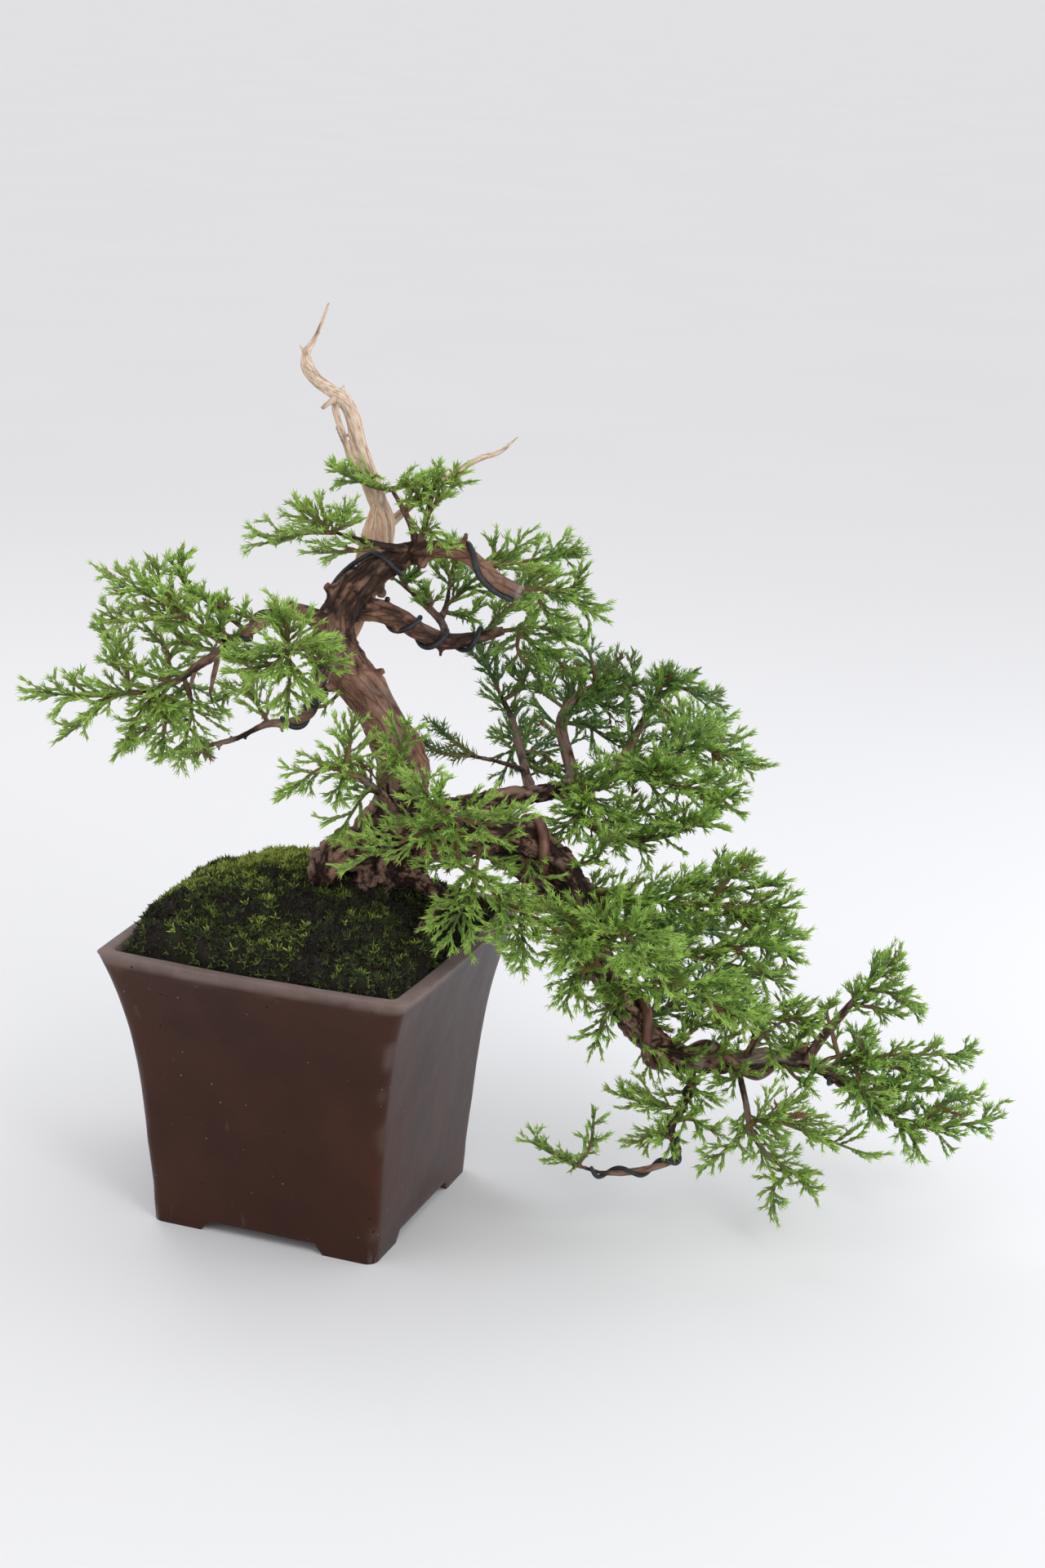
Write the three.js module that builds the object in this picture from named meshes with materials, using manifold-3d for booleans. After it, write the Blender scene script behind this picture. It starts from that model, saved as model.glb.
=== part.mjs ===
// An itoigawa juniper trained as a semi-cascade bonsai, with its square flared clay pot.
// Millimetres, +Z up. The tree's viewing front faces -Y, and the feet of the pot stand on z = 0.
import * as THREE from 'three';
import { mergeVertices } from 'three/addons/utils/BufferGeometryUtils.js';
import Module from 'manifold-3d';

const wasm = await Module();
wasm.setup();

// Driving dimensions of the pot
const POT_HEIGHT = 154;
const POT_TOP_HALF = 85;
const POT_FOOT_HALF = 63.5;
const POT_TURN = THREE.MathUtils.degToRad(-20);
const POT_WALL = 7.5;
const POT_CORNER = 6;
const POT_INNER_CORNER = 4;
const POT_SIDE_BOW = 2.2;
const FLARE_STRAIGHT = 3;
const FLARE_POWER = 3.6;
const RIM_BEVEL = 1.2;
const FOOT_HEIGHT = 6;
const FOOT_LENGTH = 33;
const FOOT_WIDTH = 13;
const FOOT_SLOPE = 5;
const FLOOR_THICK = 9;
const DRAIN_RADIUS = 14;
const DRAIN_SIDES = 20;
const PER_SIDE = 2;
const POT_LEVELS = [0, 0.25, 0.45, 0.6, 0.72, 0.82, 0.9, 0.96].map((share) => share * POT_HEIGHT);

// Driving dimensions of the soil, the moss and the mesh over the drain hole
const SOIL_EDGE = 147;
const MOUND_HEIGHT = 31;
const MOUND_POWER = 4;
const MOUND_CREST_X = 15;
const MOUND_LOW_X = 100;
const MOUND_LOW_SHARE = 0.6;
const MOUND_SHARES = [1, 0.93, 0.8, 0.6, 0.35, 0.12];
const MOSS_THICK = 4.5;
const MOSS_LUMP = 3;
const SCREEN_SIZE = 40;
const SCREEN_THICK = 1.5;
const SCREEN_HOLE = 8;
const SCREEN_BAR = 4;

// Clearances: between touching pieces, and round a shoot or twig that passes a neighbour
const GAP = 0.3;
const PASS_GAP = 0.5;
const OWN_GAP = 0.25;
const POT_CLEARANCE = 3;
const FLOOR_CLEARANCE = 2;

// Green shoots: their radius at the thick belly, how far up that is, how much they turn upwards there,
// their roll from the core's upper side and lean from its course in radians, their length as shares of
// their plume's half width, and the length of the shoot that ends a plume
const SHOOT_BELLY = 1.3;
const SHOOT_BELLY_AT = 0.55;
const SHOOT_LIFT = 0.3;
const SHOOT_ROLL = 1.1;
const ROLL_SPREAD = 0.5;
const SHOOT_LEAN = 0.62;
const LEAN_SPREAD = 0.35;
const SHOOT_LONG = 1.3;
const SHOOT_TAPER = 0.5;
const LENGTH_SPREAD = 0.2;
const END_SHARE = 0.6;
const UPRIGHT_EVERY = 5;
const SHOOT_TRIES = 6;

// The slim core of each plume, and the step from which it carries shoots
const CORE_RADIUS = 1.35;
const CORE_TIP = 0.9;
const CORE_STEPS = 8;
const FIRST_STEP = 1;

const CLAY = { color: 0x49302a, roughness: 0.62, metalness: 0 };
const SOIL = { color: 0x3b2c20, roughness: 1, metalness: 0 };
const MOSS = { color: 0x35521a, roughness: 1, metalness: 0 };
const SCREEN = { color: 0x202322, roughness: 0.6, metalness: 0 };
const BARK = { color: 0x5f4435, roughness: 0.85, metalness: 0 };
const DEADWOOD = { color: 0xc4a184, roughness: 0.8, metalness: 0 };
const COPPER = { color: 0x6d4534, roughness: 0.45, metalness: 0.6 };
const BLACK_WIRE = { color: 0x1f2226, roughness: 0.5, metalness: 0.4 };
const LEAF = { color: 0x5c9032, roughness: 0.65, metalness: 0 };

// The living wood, limb by limb: [across, depth, height] and the radius at each point.
// A limb that grows from another starts inside it.
const LIMBS = {
  trunk: {
    sides: 8,
    points: [[23, 14, 160], [26, 12, 178], [34, 10, 198], [43, 6, 218], [47, 2, 241], [43, -2, 262],
      [33, -4, 281], [20, -6, 297], [10, -8, 309], [8, -8, 320], [14, -6, 332], [26, -2, 343], [38, 2, 350],
      [48, 5, 356]],
    radii: [21, 19, 16, 14, 13.5, 13, 12.5, 12, 11, 10.5, 10, 8.5, 7, 5],
  },
  rootLeft: {
    sides: 5,
    points: [[30, 10, 190], [14, 0, 192], [3, -8, 184], [-6, -14, 168]],
    radii: [8, 7, 6, 4],
  },
  rootFront: {
    sides: 5,
    points: [[36, 6, 186], [46, -14, 186], [54, -32, 178], [58, -46, 158]],
    radii: [6, 5, 4, 3],
  },
  rootBack: {
    sides: 5,
    points: [[26, 14, 186], [22, 34, 188], [16, 52, 180], [12, 62, 160]],
    radii: [8, 7, 5, 3],
  },
  cascade: {
    sides: 7,
    points: [[40, 8, 204], [63, 2, 209], [89, -6, 210], [110, -12, 207], [126, -17, 197], [137, -20, 179],
      [145, -22, 156], [155, -24, 134], [171, -25, 112], [190, -25, 98], [212, -24, 95], [235, -22, 97],
      [257, -20, 95], [277, -18, 84], [295, -16, 71], [313, -14, 59]],
    radii: [12, 12, 11, 10, 9, 8.5, 8.5, 8, 7.5, 7, 6.5, 5.5, 4, 3, 2.3, 1.8],
  },
  stub: { sides: 6, points: [[84, -2, 206], [103, 9, 190], [125, 18, 166]], radii: [9, 8, 6.5] },
  rearRight: {
    sides: 6,
    points: [[50, 6, 213], [71, 12, 216], [92, 20, 219], [113, 28, 221], [133, 35, 223], [152, 42, 228],
      [173, 45, 237]],
    radii: [8, 7, 6.5, 5.5, 4.5, 3.5, 2],
  },
  rearUpLeft: {
    sides: 4,
    points: [[109, 27, 221], [104, 45, 235], [98, 55, 252], [90, 62, 267]],
    radii: [3, 2.6, 2.2, 1.5],
  },
  rearUpMid: {
    sides: 5,
    points: [[133, 35, 223], [128, 50, 236], [124, 58, 252], [131, 64, 264], [144, 68, 272]],
    radii: [4, 3.5, 3, 2.3, 1.6],
  },
  rearUpRight: {
    sides: 4,
    points: [[153, 42, 228], [161, 40, 248], [169, 38, 266], [175, 36, 281]],
    radii: [3, 2.6, 2.2, 1.5],
  },
  rearLow: {
    sides: 4,
    points: [[124, 32, 222], [139, 20, 209], [161, 12, 203], [182, 8, 208]],
    radii: [3, 2.6, 2.2, 1.5],
  },
  juvenileTwig: {
    sides: 4,
    points: [[107, 42, 230], [91, 32, 238], [76, 24, 243], [68, 20, 248]],
    radii: [2, 1.7, 1.5, 1.2],
  },
  leftBranch: {
    sides: 6,
    points: [[12, -7, 315], [-7, -18, 328], [-19, -28, 330], [-32, -40, 324], [-43, -46, 314],
      [-55, -44, 304], [-70, -38, 292], [-85, -34, 286]],
    radii: [7, 5.5, 4.8, 4.2, 3.6, 3, 2.4, 1.8],
  },
  leftNear: {
    sides: 4,
    points: [[8, -9, 309], [-3, -38, 314], [-10, -56, 317]],
    radii: [4, 3, 1.8],
  },
  leftLoop: {
    sides: 5,
    points: [[16, -6, 301], [8, -27, 303], [3, -37, 294], [-1, -40, 281], [-11, -37, 274], [-24, -32, 271],
      [-39, -28, 262], [-51, -26, 258]],
    radii: [4.5, 3.8, 3.5, 3.2, 2.8, 2.2, 1.8, 1.3],
  },
  crownLeft: {
    sides: 4,
    points: [[44, 3, 354], [31, -6, 358], [19, -12, 362], [8, -16, 366]],
    radii: [4, 3, 2.2, 1.5],
  },
  crownUp: {
    sides: 4,
    points: [[47, 4, 356], [44, 6, 366], [39, 8, 375], [34, 10, 383]],
    radii: [3.4, 2.4, 2, 1.4],
  },
  crownRight: {
    sides: 4,
    points: [[49, 4, 356], [51, 2, 367], [53, 0, 378], [55, -2, 387]],
    radii: [3.4, 2.4, 2, 1.4],
  },
  upperRight: {
    sides: 6,
    points: [[44, 4, 354], [59, -4, 361], [73, -12, 361], [82, -18, 355], [90, -22, 348], [101, -26, 342]],
    radii: [6, 5.2, 4.8, 4.6, 4.4, 4.2],
  },
  midRight: {
    sides: 6,
    points: [[12, -6, 326], [28, 2, 323], [40, 8, 317], [51, 14, 309], [63, 19, 304], [77, 24, 305],
      [92, 30, 308]],
    radii: [7, 6, 5.2, 5, 4.6, 3.8, 2.4],
  },
  midTwig: {
    sides: 4,
    points: [[63, 19, 304], [60, 22, 313], [49, 20, 325], [39, 18, 334]],
    radii: [2.6, 2.2, 1.9, 1.2],
  },
  midTwigUp: {
    sides: 4,
    points: [[59, 22, 314], [62, 27, 321], [63, 31, 329]],
    radii: [2, 1.7, 1.2],
  },
  lowTwig: {
    sides: 4,
    points: [[196, -25, 98], [198, -34, 84], [191, -42, 75], [188, -48, 64], [192, -50, 56], [186, -52, 50],
      [171, -54, 46], [154, -56, 45], [142, -58, 49]],
    radii: [3, 2.4, 2.2, 2.1, 2, 1.9, 1.8, 1.6, 1.2],
  },
  lowTwigRight: {
    sides: 4,
    points: [[221, -23, 96], [226, -36, 79], [230, -42, 64], [240, -46, 52], [251, -47, 46]],
    radii: [3, 2.3, 2, 1.7, 1.2],
  },
  outUp: {
    sides: 5,
    points: [[257, -20, 95], [266, -15, 108], [276, -11, 120], [285, -8, 131]],
    radii: [3.4, 2.8, 2.4, 1.5],
  },
  frontTwig: {
    sides: 4,
    points: [[38, 4, 214], [36, -28, 232], [31, -50, 246], [24, -65, 256]],
    radii: [3.6, 2.6, 2, 1.4],
  },
  frontTwigRight: {
    sides: 4,
    points: [[72, 0, 210], [72, -32, 226], [68, -58, 235]],
    radii: [3.2, 2.4, 1.5],
  },
};

// The bleached deadwood that rises behind the crown, and its side snag
const JIN = {
  main: {
    sides: 6,
    points: [[12, 9, 304], [18, 11, 318], [27, 14, 340], [31, 14, 364], [26, 15, 386], [20, 16, 404],
      [12, 17, 422], [0, 18, 434], [-9, 18, 442], [-11, 19, 452], [-5, 20, 463], [0, 21, 474]],
    radii: [3, 5, 7, 7, 5.5, 5, 4.8, 4.6, 4, 3.2, 2.2, 0.8],
  },
  strand: {
    sides: 4,
    points: [[30, 13, 356], [20, 12, 380], [8, 13, 400], [6, 15, 416], [10, 17, 424]],
    radii: [2, 2, 1.8, 1.8, 1.6],
  },
  side: {
    sides: 4,
    points: [[30, 14, 362], [46, 18, 377], [62, 21, 389], [76, 23, 398], [87, 24, 402], [96, 25, 410]],
    radii: [3, 2.6, 2.4, 2.2, 1.8, 0.6],
  },
  snagLow: {
    sides: 4,
    points: [[12, 17, 404], [5, 15, 410], [1, 14, 417]],
    radii: [1.6, 1.3, 0.6],
  },
  snagHigh: { sides: 4, points: [[-4, 18, 437], [4, 16, 438], [8, 15, 434]], radii: [2, 1.5, 0.7] },
};

// Training wires. Each lies on one limb: at each knot it is so far along the limb and at that angle
// round it, in degrees, where 0 is the limb's upper side and 90 is the side that the viewer sees.
const WIRES = {
  wire_thick_cascade: {
    limb: 'cascade',
    knots: [[0.24, -30], [0.8, 1590]],
    radius: 2.9,
    sides: 5,
    look: COPPER,
  },
  wire_black_crown: {
    limb: 'upperRight',
    knots: [[0.3, -60], [0.98, 560]],
    radius: 1.8,
    sides: 4,
    look: BLACK_WIRE,
  },
  wire_black_apex: {
    limb: 'trunk',
    knots: [[0.75, -50], [0.87, 20], [0.905, 165]],
    radius: 1.8,
    sides: 4,
    look: BLACK_WIRE,
  },
  wire_black_middle: {
    limb: 'midRight',
    knots: [[0.22, 200], [0.86, 1300]],
    radius: 1.9,
    sides: 4,
    look: BLACK_WIRE,
  },
  wire_black_left: {
    limb: 'leftBranch',
    knots: [[0.18, 40], [0.6, 860]],
    radius: 1.6,
    sides: 4,
    look: BLACK_WIRE,
  },
  wire_black_loop: {
    limb: 'leftLoop',
    knots: [[0.2, 10], [0.62, 780]],
    radius: 1.5,
    sides: 4,
    look: BLACK_WIRE,
  },
  wire_black_outer: {
    limb: 'cascade',
    knots: [[0.84, 80], [0.985, 1230]],
    radius: 1.3,
    sides: 4,
    look: BLACK_WIRE,
  },
  wire_black_low: {
    limb: 'lowTwig',
    knots: [[0.12, 30], [0.96, 1830]],
    radius: 1.3,
    sides: 4,
    look: BLACK_WIRE,
  },
};
const WIRE_STEP = 45;

// The foliage, spray by spray. A spray is one body: each plume in it grows from a limb or from an
// earlier plume of the same spray, passes through the points after its foot, and is `wide` to each side.
const SPRAYS = {
  left_high: [
    { on: 'leftBranch', at: 0.36, through: [[-44, -54, 347], [-54, -64, 373]], wide: 24 },
  ],
  left_far_high: [
    { on: 'leftBranch', at: 0.56, through: [[-64, -66, 341], [-90, -76, 365]], wide: 26 },
    { on: 0, at: 0.4, through: [[-86, -68, 336], [-100, -70, 339]], wide: 20 },
  ],
  left_tip: [
    { on: 'leftBranch', at: 1, through: [[-111, -34, 285], [-138, -32, 287]], wide: 17 },
    { on: 0, at: 0.3, through: [[-110, -44, 275], [-125, -46, 263]], wide: 15 },
    { on: 0, at: 0.15, through: [[-95, -26, 303], [-109, -22, 319]], wide: 18 },
  ],
  left_low: [
    { on: 'leftBranch', at: 0.8, through: [[-62, -26, 272], [-68, -18, 240]], wide: 22 },
    { on: 0, at: 0.35, through: [[-80, -30, 267], [-92, -30, 253]], wide: 18 },
  ],
  loop_tip: [
    { on: 'leftLoop', at: 1, through: [[-55, -22, 250], [-54, -12, 240]], wide: 15 },
  ],
  left_near: [
    { on: 'leftNear', at: 1, through: [[-10, -76, 326], [-9, -94, 341]], wide: 24 },
    { on: 0, at: 0.3, through: [[-17, -72, 314], [-31, -82, 314]], wide: 20 },
  ],
  left_under: [
    { on: 'leftLoop', at: 0.7, through: [[-36, -18, 284], [-56, -10, 274]], wide: 16 },
  ],
  front_fan: [
    { on: 'frontTwig', at: 1, through: [[8, -76, 266], [-16, -84, 254]], wide: 24 },
    { on: 0, at: 0.2, through: [[17, -72, 274], [8, -72, 291]], wide: 18 },
  ],
  front_mid: [
    { on: 'frontTwig', at: 0.6, through: [[41, -54, 257], [46, -64, 277]], wide: 18 },
  ],
  front_mass_up: [
    { on: 'frontTwigRight', at: 1, through: [[61, -72, 247], [54, -84, 265]], wide: 24 },
    { on: 0, at: 0.25, through: [[84, -76, 238], [101, -90, 245]], wide: 22 },
  ],
  front_mass_low: [
    { on: 'frontTwigRight', at: 0.62, through: [[51, -60, 224], [28, -74, 217]], wide: 22 },
  ],
  front_low: [
    { on: 'cascade', at: 0.12, through: [[82, -46, 199], [74, -64, 182]], wide: 24 },
    { on: 0, at: 0.4, through: [[103, -50, 193], [112, -68, 176]], wide: 24 },
  ],
  crown_left: [
    { on: 'crownLeft', at: 1, through: [[-6, -20, 368], [-23, -26, 366]], wide: 18 },
    { on: 0, at: 0.2, through: [[5, -22, 379], [-6, -24, 389]], wide: 16 },
  ],
  crown_top: [
    { on: 'crownUp', at: 1, through: [[21, 4, 389], [5, -2, 400]], wide: 17 },
    { on: 0, at: 0.15, through: [[38, 6, 393], [42, 2, 402]], wide: 12 },
  ],
  crown_right: [
    { on: 'crownRight', at: 1, through: [[62, -4, 392], [75, -6, 400]], wide: 19 },
    { on: 0, at: 0.15, through: [[66, 6, 380], [76, 12, 377]], wide: 15 },
  ],
  upper_right: [
    { on: 'upperRight', at: 0.55, through: [[104, -6, 356], [128, 2, 365]], wide: 18 },
    { on: 0, at: 0.35, through: [[90, 4, 366], [98, 12, 374]], wide: 15 },
  ],
  upper_low: [
    { on: 'upperRight', at: 0.9, through: [[119, -22, 344], [141, -20, 332]], wide: 20 },
  ],
  middle_right: [
    { on: 'midRight', at: 1, through: [[114, 36, 313], [142, 40, 306]], wide: 21 },
    { on: 0, at: 0.25, through: [[108, 46, 296], [125, 52, 285]], wide: 17 },
  ],
  middle_up: [
    { on: 'midRight', at: 0.86, through: [[97, 36, 323], [107, 40, 338]], wide: 19 },
  ],
  middle_twig: [
    { on: 'midTwigUp', at: 0.97, through: [[64, 35, 338], [66, 40, 348]], wide: 15 },
  ],
  rear_left: [
    { on: 'rearUpLeft', at: 1, through: [[84, 66, 280], [78, 70, 291]], wide: 21 },
  ],
  rear_low_left: [
    { on: 'rearUpLeft', at: 0.45, through: [[91, 60, 240], [79, 68, 222]], wide: 18 },
  ],
  rear_mid: [
    { on: 'rearUpMid', at: 1, through: [[149, 73, 282], [152, 80, 294]], wide: 21 },
  ],
  rear_up: [
    { on: 'rearUpMid', at: 0.62, through: [[115, 76, 266], [107, 84, 285]], wide: 21 },
  ],
  rear_right: [
    { on: 'rearUpRight', at: 1, through: [[176, 35, 293], [175, 33, 306]], wide: 17 },
    { on: 0, at: 0.2, through: [[190, 36, 284], [208, 38, 281]], wide: 17 },
  ],
  juvenile: [
    { on: 'juvenileTwig', at: 1, through: [[61, 17, 257], [51, 15, 262]], wide: 12 },
  ],
  pad_far: [
    { on: 'rearRight', at: 1, through: [[200, 43, 247], [232, 40, 246]], wide: 24 },
    { on: 0, at: 0.3, through: [[190, 68, 244], [204, 96, 240]], wide: 22 },
  ],
  pad_near: [
    { on: 'rearRight', at: 0.86, through: [[188, 20, 233], [220, 12, 234]], wide: 22 },
  ],
  pad_front: [
    { on: 'rearRight', at: 0.6, through: [[141, 10, 229], [134, -10, 222]], wide: 20 },
  ],
  pad_under: [
    { on: 'rearLow', at: 1, through: [[195, 3, 217], [206, 0, 229]], wide: 15 },
    { on: 0, at: 0.2, through: [[188, -8, 218], [196, -18, 227]], wide: 15 },
  ],
  cascade_high: [
    { on: 'cascade', at: 0.3, through: [[150, -18, 203], [173, -22, 207]], wide: 20 },
  ],
  cascade_top: [
    { on: 'cascade', at: 0.35, through: [[178, -14, 188], [216, -12, 211]], wide: 22 },
    { on: 0, at: 0.35, through: [[206, -22, 184], [246, -24, 195]], wide: 20 },
  ],
  cascade_mid: [
    { on: 'cascade', at: 0.42, through: [[207, -30, 165], [260, -32, 182]], wide: 22 },
  ],
  cascade_near: [
    { on: 'cascade', at: 0.4, through: [[156, -56, 177], [170, -86, 172]], wide: 26 },
  ],
  cascade_near_left: [
    { on: 'cascade', at: 0.33, through: [[130, -52, 186], [127, -80, 180]], wide: 24 },
  ],
  cascade_near_low: [
    { on: 'cascade', at: 0.47, through: [[182, -50, 149], [214, -66, 142]], wide: 26 },
    { on: 0, at: 0.15, through: [[150, -44, 128], [141, -50, 108]], wide: 16 },
  ],
  cascade_back: [
    { on: 'cascade', at: 0.41, through: [[176, 12, 152], [208, 50, 142]], wide: 25 },
  ],
  cascade_back_low: [
    { on: 'cascade', at: 0.52, through: [[196, 2, 122], [226, 32, 124]], wide: 22 },
  ],
  outer_up: [
    { on: 'outUp', at: 1, through: [[292, -6, 143], [299, -4, 154]], wide: 18 },
    { on: 0, at: 0.1, through: [[301, -6, 131], [314, -2, 119]], wide: 14 },
  ],
  outer_long: [
    { on: 'cascade', at: 0.83, through: [[295, -22, 101], [339, -22, 104]], wide: 18 },
    { on: 0, at: 0.3, through: [[284, -36, 92], [290, -50, 82]], wide: 15 },
  ],
  outer_tip: [
    { on: 'cascade', at: 1, through: [[335, -14, 58], [363, -12, 62]], wide: 18 },
    { on: 0, at: 0.25, through: [[328, -20, 74], [345, -18, 85]], wide: 14 },
  ],
  low_end: [
    { on: 'lowTwig', at: 1, through: [[132, -60, 54], [117, -64, 64]], wide: 11 },
    { on: 0, at: 0.1, through: [[146, -62, 63], [148, -66, 86]], wide: 10 },
  ],
  low_left: [
    { on: 'lowTwig', at: 0.24, through: [[176, -42, 76], [155, -46, 84]], wide: 19 },
  ],
  low_right: [
    { on: 'lowTwigRight', at: 0.4, through: [[243, -45, 72], [283, -50, 60]], wide: 21 },
    { on: 0, at: 0.12, through: [[218, -54, 62], [203, -58, 49]], wide: 18 },
  ],
  low_bottom: [
    { on: 'lowTwigRight', at: 1, through: [[258, -48, 44], [267, -48, 30]], wide: 14 },
    { on: 0, at: 0.12, through: [[242, -50, 34], [243, -50, 17]], wide: 12 },
  ],
};
const SHOOTS_PER_PLUME = 11;
const FIRST_SEED = 100;
const SLIDES = [0, 0.012, -0.012, 0.024, -0.024, 0.036, -0.036, 0.05, -0.05];

// Seeded random numbers from 0 to 1, the same in every run
function randomFrom(seed) {
  let state = seed >>> 0;
  return () => {
    state = (state + 0x6d2b79f5) >>> 0;
    let mixed = Math.imul(state ^ (state >>> 15), 1 | state);
    mixed = (mixed + Math.imul(mixed ^ (mixed >>> 7), 61 | mixed)) ^ mixed;
    return ((mixed ^ (mixed >>> 14)) >>> 0) / 4294967296;
  };
}

const vec = (p) => new THREE.Vector3(...p);

// Closed geometry as a solid, and back
function solidOf(geometry) {
  const bare = new THREE.BufferGeometry();
  bare.setAttribute('position', geometry.getAttribute('position'));
  bare.setIndex(geometry.index);
  const merged = mergeVertices(bare, 1e-4);
  return new wasm.Manifold(new wasm.Mesh({
    numProp: 3,
    vertProperties: merged.attributes.position.array,
    triVerts: new Uint32Array(merged.index.array),
  }));
}

function geometryOf(solid) {
  const mesh = solid.getMesh();
  const points = [];
  for (let i = 0; i < mesh.numVert; i++) {
    points.push(...mesh.vertProperties.slice(i * mesh.numProp, i * mesh.numProp + 3));
  }
  const geometry = new THREE.BufferGeometry();
  geometry.setAttribute('position', new THREE.Float32BufferAttribute(points, 3));
  geometry.setIndex([...mesh.triVerts]);
  const flat = geometry.toNonIndexed();
  flat.computeVertexNormals();
  return flat;
}

function fuse(solids) {
  let level = solids;
  while (level.length > 1) {
    const next = [];
    for (let i = 0; i < level.length; i += 2) {
      next.push(i + 1 < level.length ? level[i].add(level[i + 1]) : level[i]);
    }
    level = next;
  }
  return level[0];
}

// The largest body of a solid: scraps that a cut leaves loose are dropped
function largestBody(solid) {
  return solid.decompose().reduce((best, body) => (body.volume() > best.volume() ? body : best));
}

// A closed skin through rings of equal count, which all turn the same way, with a point or a fan at each end
function loftOf(rings, startPoint, endPoint) {
  const points = rings.flat().flatMap((p) => [p.x, p.y, p.z]);
  const count = rings[0].length;
  const faces = [];
  for (let r = 0; r + 1 < rings.length; r++) {
    for (let i = 0; i < count; i++) {
      const a = r * count + i;
      const b = r * count + ((i + 1) % count);
      faces.push(a, b, b + count, a, b + count, a + count);
    }
  }
  const first = points.length / 3;
  points.push(...startPoint.toArray(), ...endPoint.toArray());
  const last = (rings.length - 1) * count;
  for (let i = 0; i < count; i++) {
    const next = (i + 1) % count;
    faces.push(first, next, i);
    faces.push(first + 1, last + i, last + next);
  }
  const geometry = new THREE.BufferGeometry();
  geometry.setAttribute('position', new THREE.Float32BufferAttribute(points, 3));
  geometry.setIndex(faces);
  return geometry;
}

// A round-sided tube through the points, with its own radius at each
function tubeOf(points, radii, sides) {
  const rings = [];
  let across = null;
  points.forEach((point, i) => {
    const ahead = points[Math.min(i + 1, points.length - 1)].clone();
    const along = ahead.sub(points[Math.max(i - 1, 0)]).normalize();
    across = across ?? (Math.abs(along.z) < 0.9 ? new THREE.Vector3(0, 0, 1) : new THREE.Vector3(1, 0, 0));
    across = across.clone().addScaledVector(along, -across.dot(along)).normalize();
    const side = along.clone().cross(across);
    const ring = [];
    for (let k = 0; k < sides; k++) {
      const angle = (2 * Math.PI * k) / sides;
      ring.push(point.clone()
        .addScaledVector(across, radii[i] * Math.cos(angle))
        .addScaledVector(side, radii[i] * Math.sin(angle)));
    }
    rings.push(ring);
  });
  return loftOf(rings, points[0], points[points.length - 1]);
}

// The curve and radius of a limb, by the share of its listed points passed
function curveOf(limb) {
  return new THREE.CatmullRomCurve3(limb.points.map(vec), false, 'catmullrom', 0.5);
}

function radiusAt(limb, share) {
  const place = Math.min(Math.max(share, 0), 1) * (limb.radii.length - 1);
  const index = Math.min(Math.floor(place), limb.radii.length - 2);
  return THREE.MathUtils.lerp(limb.radii[index], limb.radii[index + 1], place - index);
}

// A limb as a tube, `extra` fatter all round and at both ends
function limbSolid(limb, extra = 0) {
  const curve = curveOf(limb);
  const steps = limb.sides > 6 ? Math.round(1.5 * (limb.points.length - 1)) : limb.points.length - 1;
  const points = [];
  const radii = [];
  for (let i = 0; i <= steps; i++) {
    points.push(curve.getPoint(i / steps));
    radii.push(radiusAt(limb, i / steps) + extra);
  }
  points[0].addScaledVector(curve.getTangent(0), -extra);
  points[steps].addScaledVector(curve.getTangent(1), extra);
  return solidOf(tubeOf(points, radii, limb.sides));
}

// What is already in place, as round-ended rods: a new shoot has to pass clear of what isn't its own
const placed = [];

function addRods(owner, points, radii) {
  for (let i = 0; i + 1 < points.length; i++) {
    placed.push({ owner, a: points[i], b: points[i + 1], radius: Math.max(radii[i], radii[i + 1]) });
  }
}

function rodDistance(p, q, a, b) {
  const u = q.clone().sub(p);
  const v = b.clone().sub(a);
  const w = p.clone().sub(a);
  const uu = u.dot(u);
  const uv = u.dot(v);
  const vv = v.dot(v);
  const uw = u.dot(w);
  const vw = v.dot(w);
  const spread = uu * vv - uv * uv;
  let s = spread > 1e-9 ? THREE.MathUtils.clamp((uv * vw - vv * uw) / spread, 0, 1) : 0;
  const t = THREE.MathUtils.clamp((uv * s + vw) / vv, 0, 1);
  s = THREE.MathUtils.clamp((uv * t - uw) / uu, 0, 1);
  return w.addScaledVector(u, s).addScaledVector(v, -t).length();
}

// Pot: one closed skin, from the underside up the flared sides, over the rim and down to the floor inside
function potHalf(z) {
  const share = z / POT_HEIGHT;
  return POT_FOOT_HALF + FLARE_STRAIGHT * share
    + (POT_TOP_HALF - POT_FOOT_HALF - FLARE_STRAIGHT) * share ** FLARE_POWER;
}

// A square ring with round corners and slightly bowed sides, turning left seen from above
function squareRing(half, z, corner = POT_CORNER) {
  const ring = [];
  const inner = half - corner;
  const bow = POT_SIDE_BOW * Math.min(z / POT_HEIGHT, 1);
  for (let side = 0; side < 4; side++) {
    const turn = (side * Math.PI) / 2;
    const place = (x, y) => ring.push(new THREE.Vector3(
      x * Math.cos(turn) - y * Math.sin(turn), x * Math.sin(turn) + y * Math.cos(turn), z));
    for (let k = 0; k <= 2; k++) {
      const angle = -Math.PI / 2 + (k * Math.PI) / 4;
      place(inner + corner * Math.cos(angle), -inner + corner * Math.sin(angle));
    }
    for (let k = 1; k <= PER_SIDE; k++) {
      const share = (2 * k) / (PER_SIDE + 1) - 1;
      place(half + bow * (1 - share * share), inner * share);
    }
  }
  return ring;
}

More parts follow.
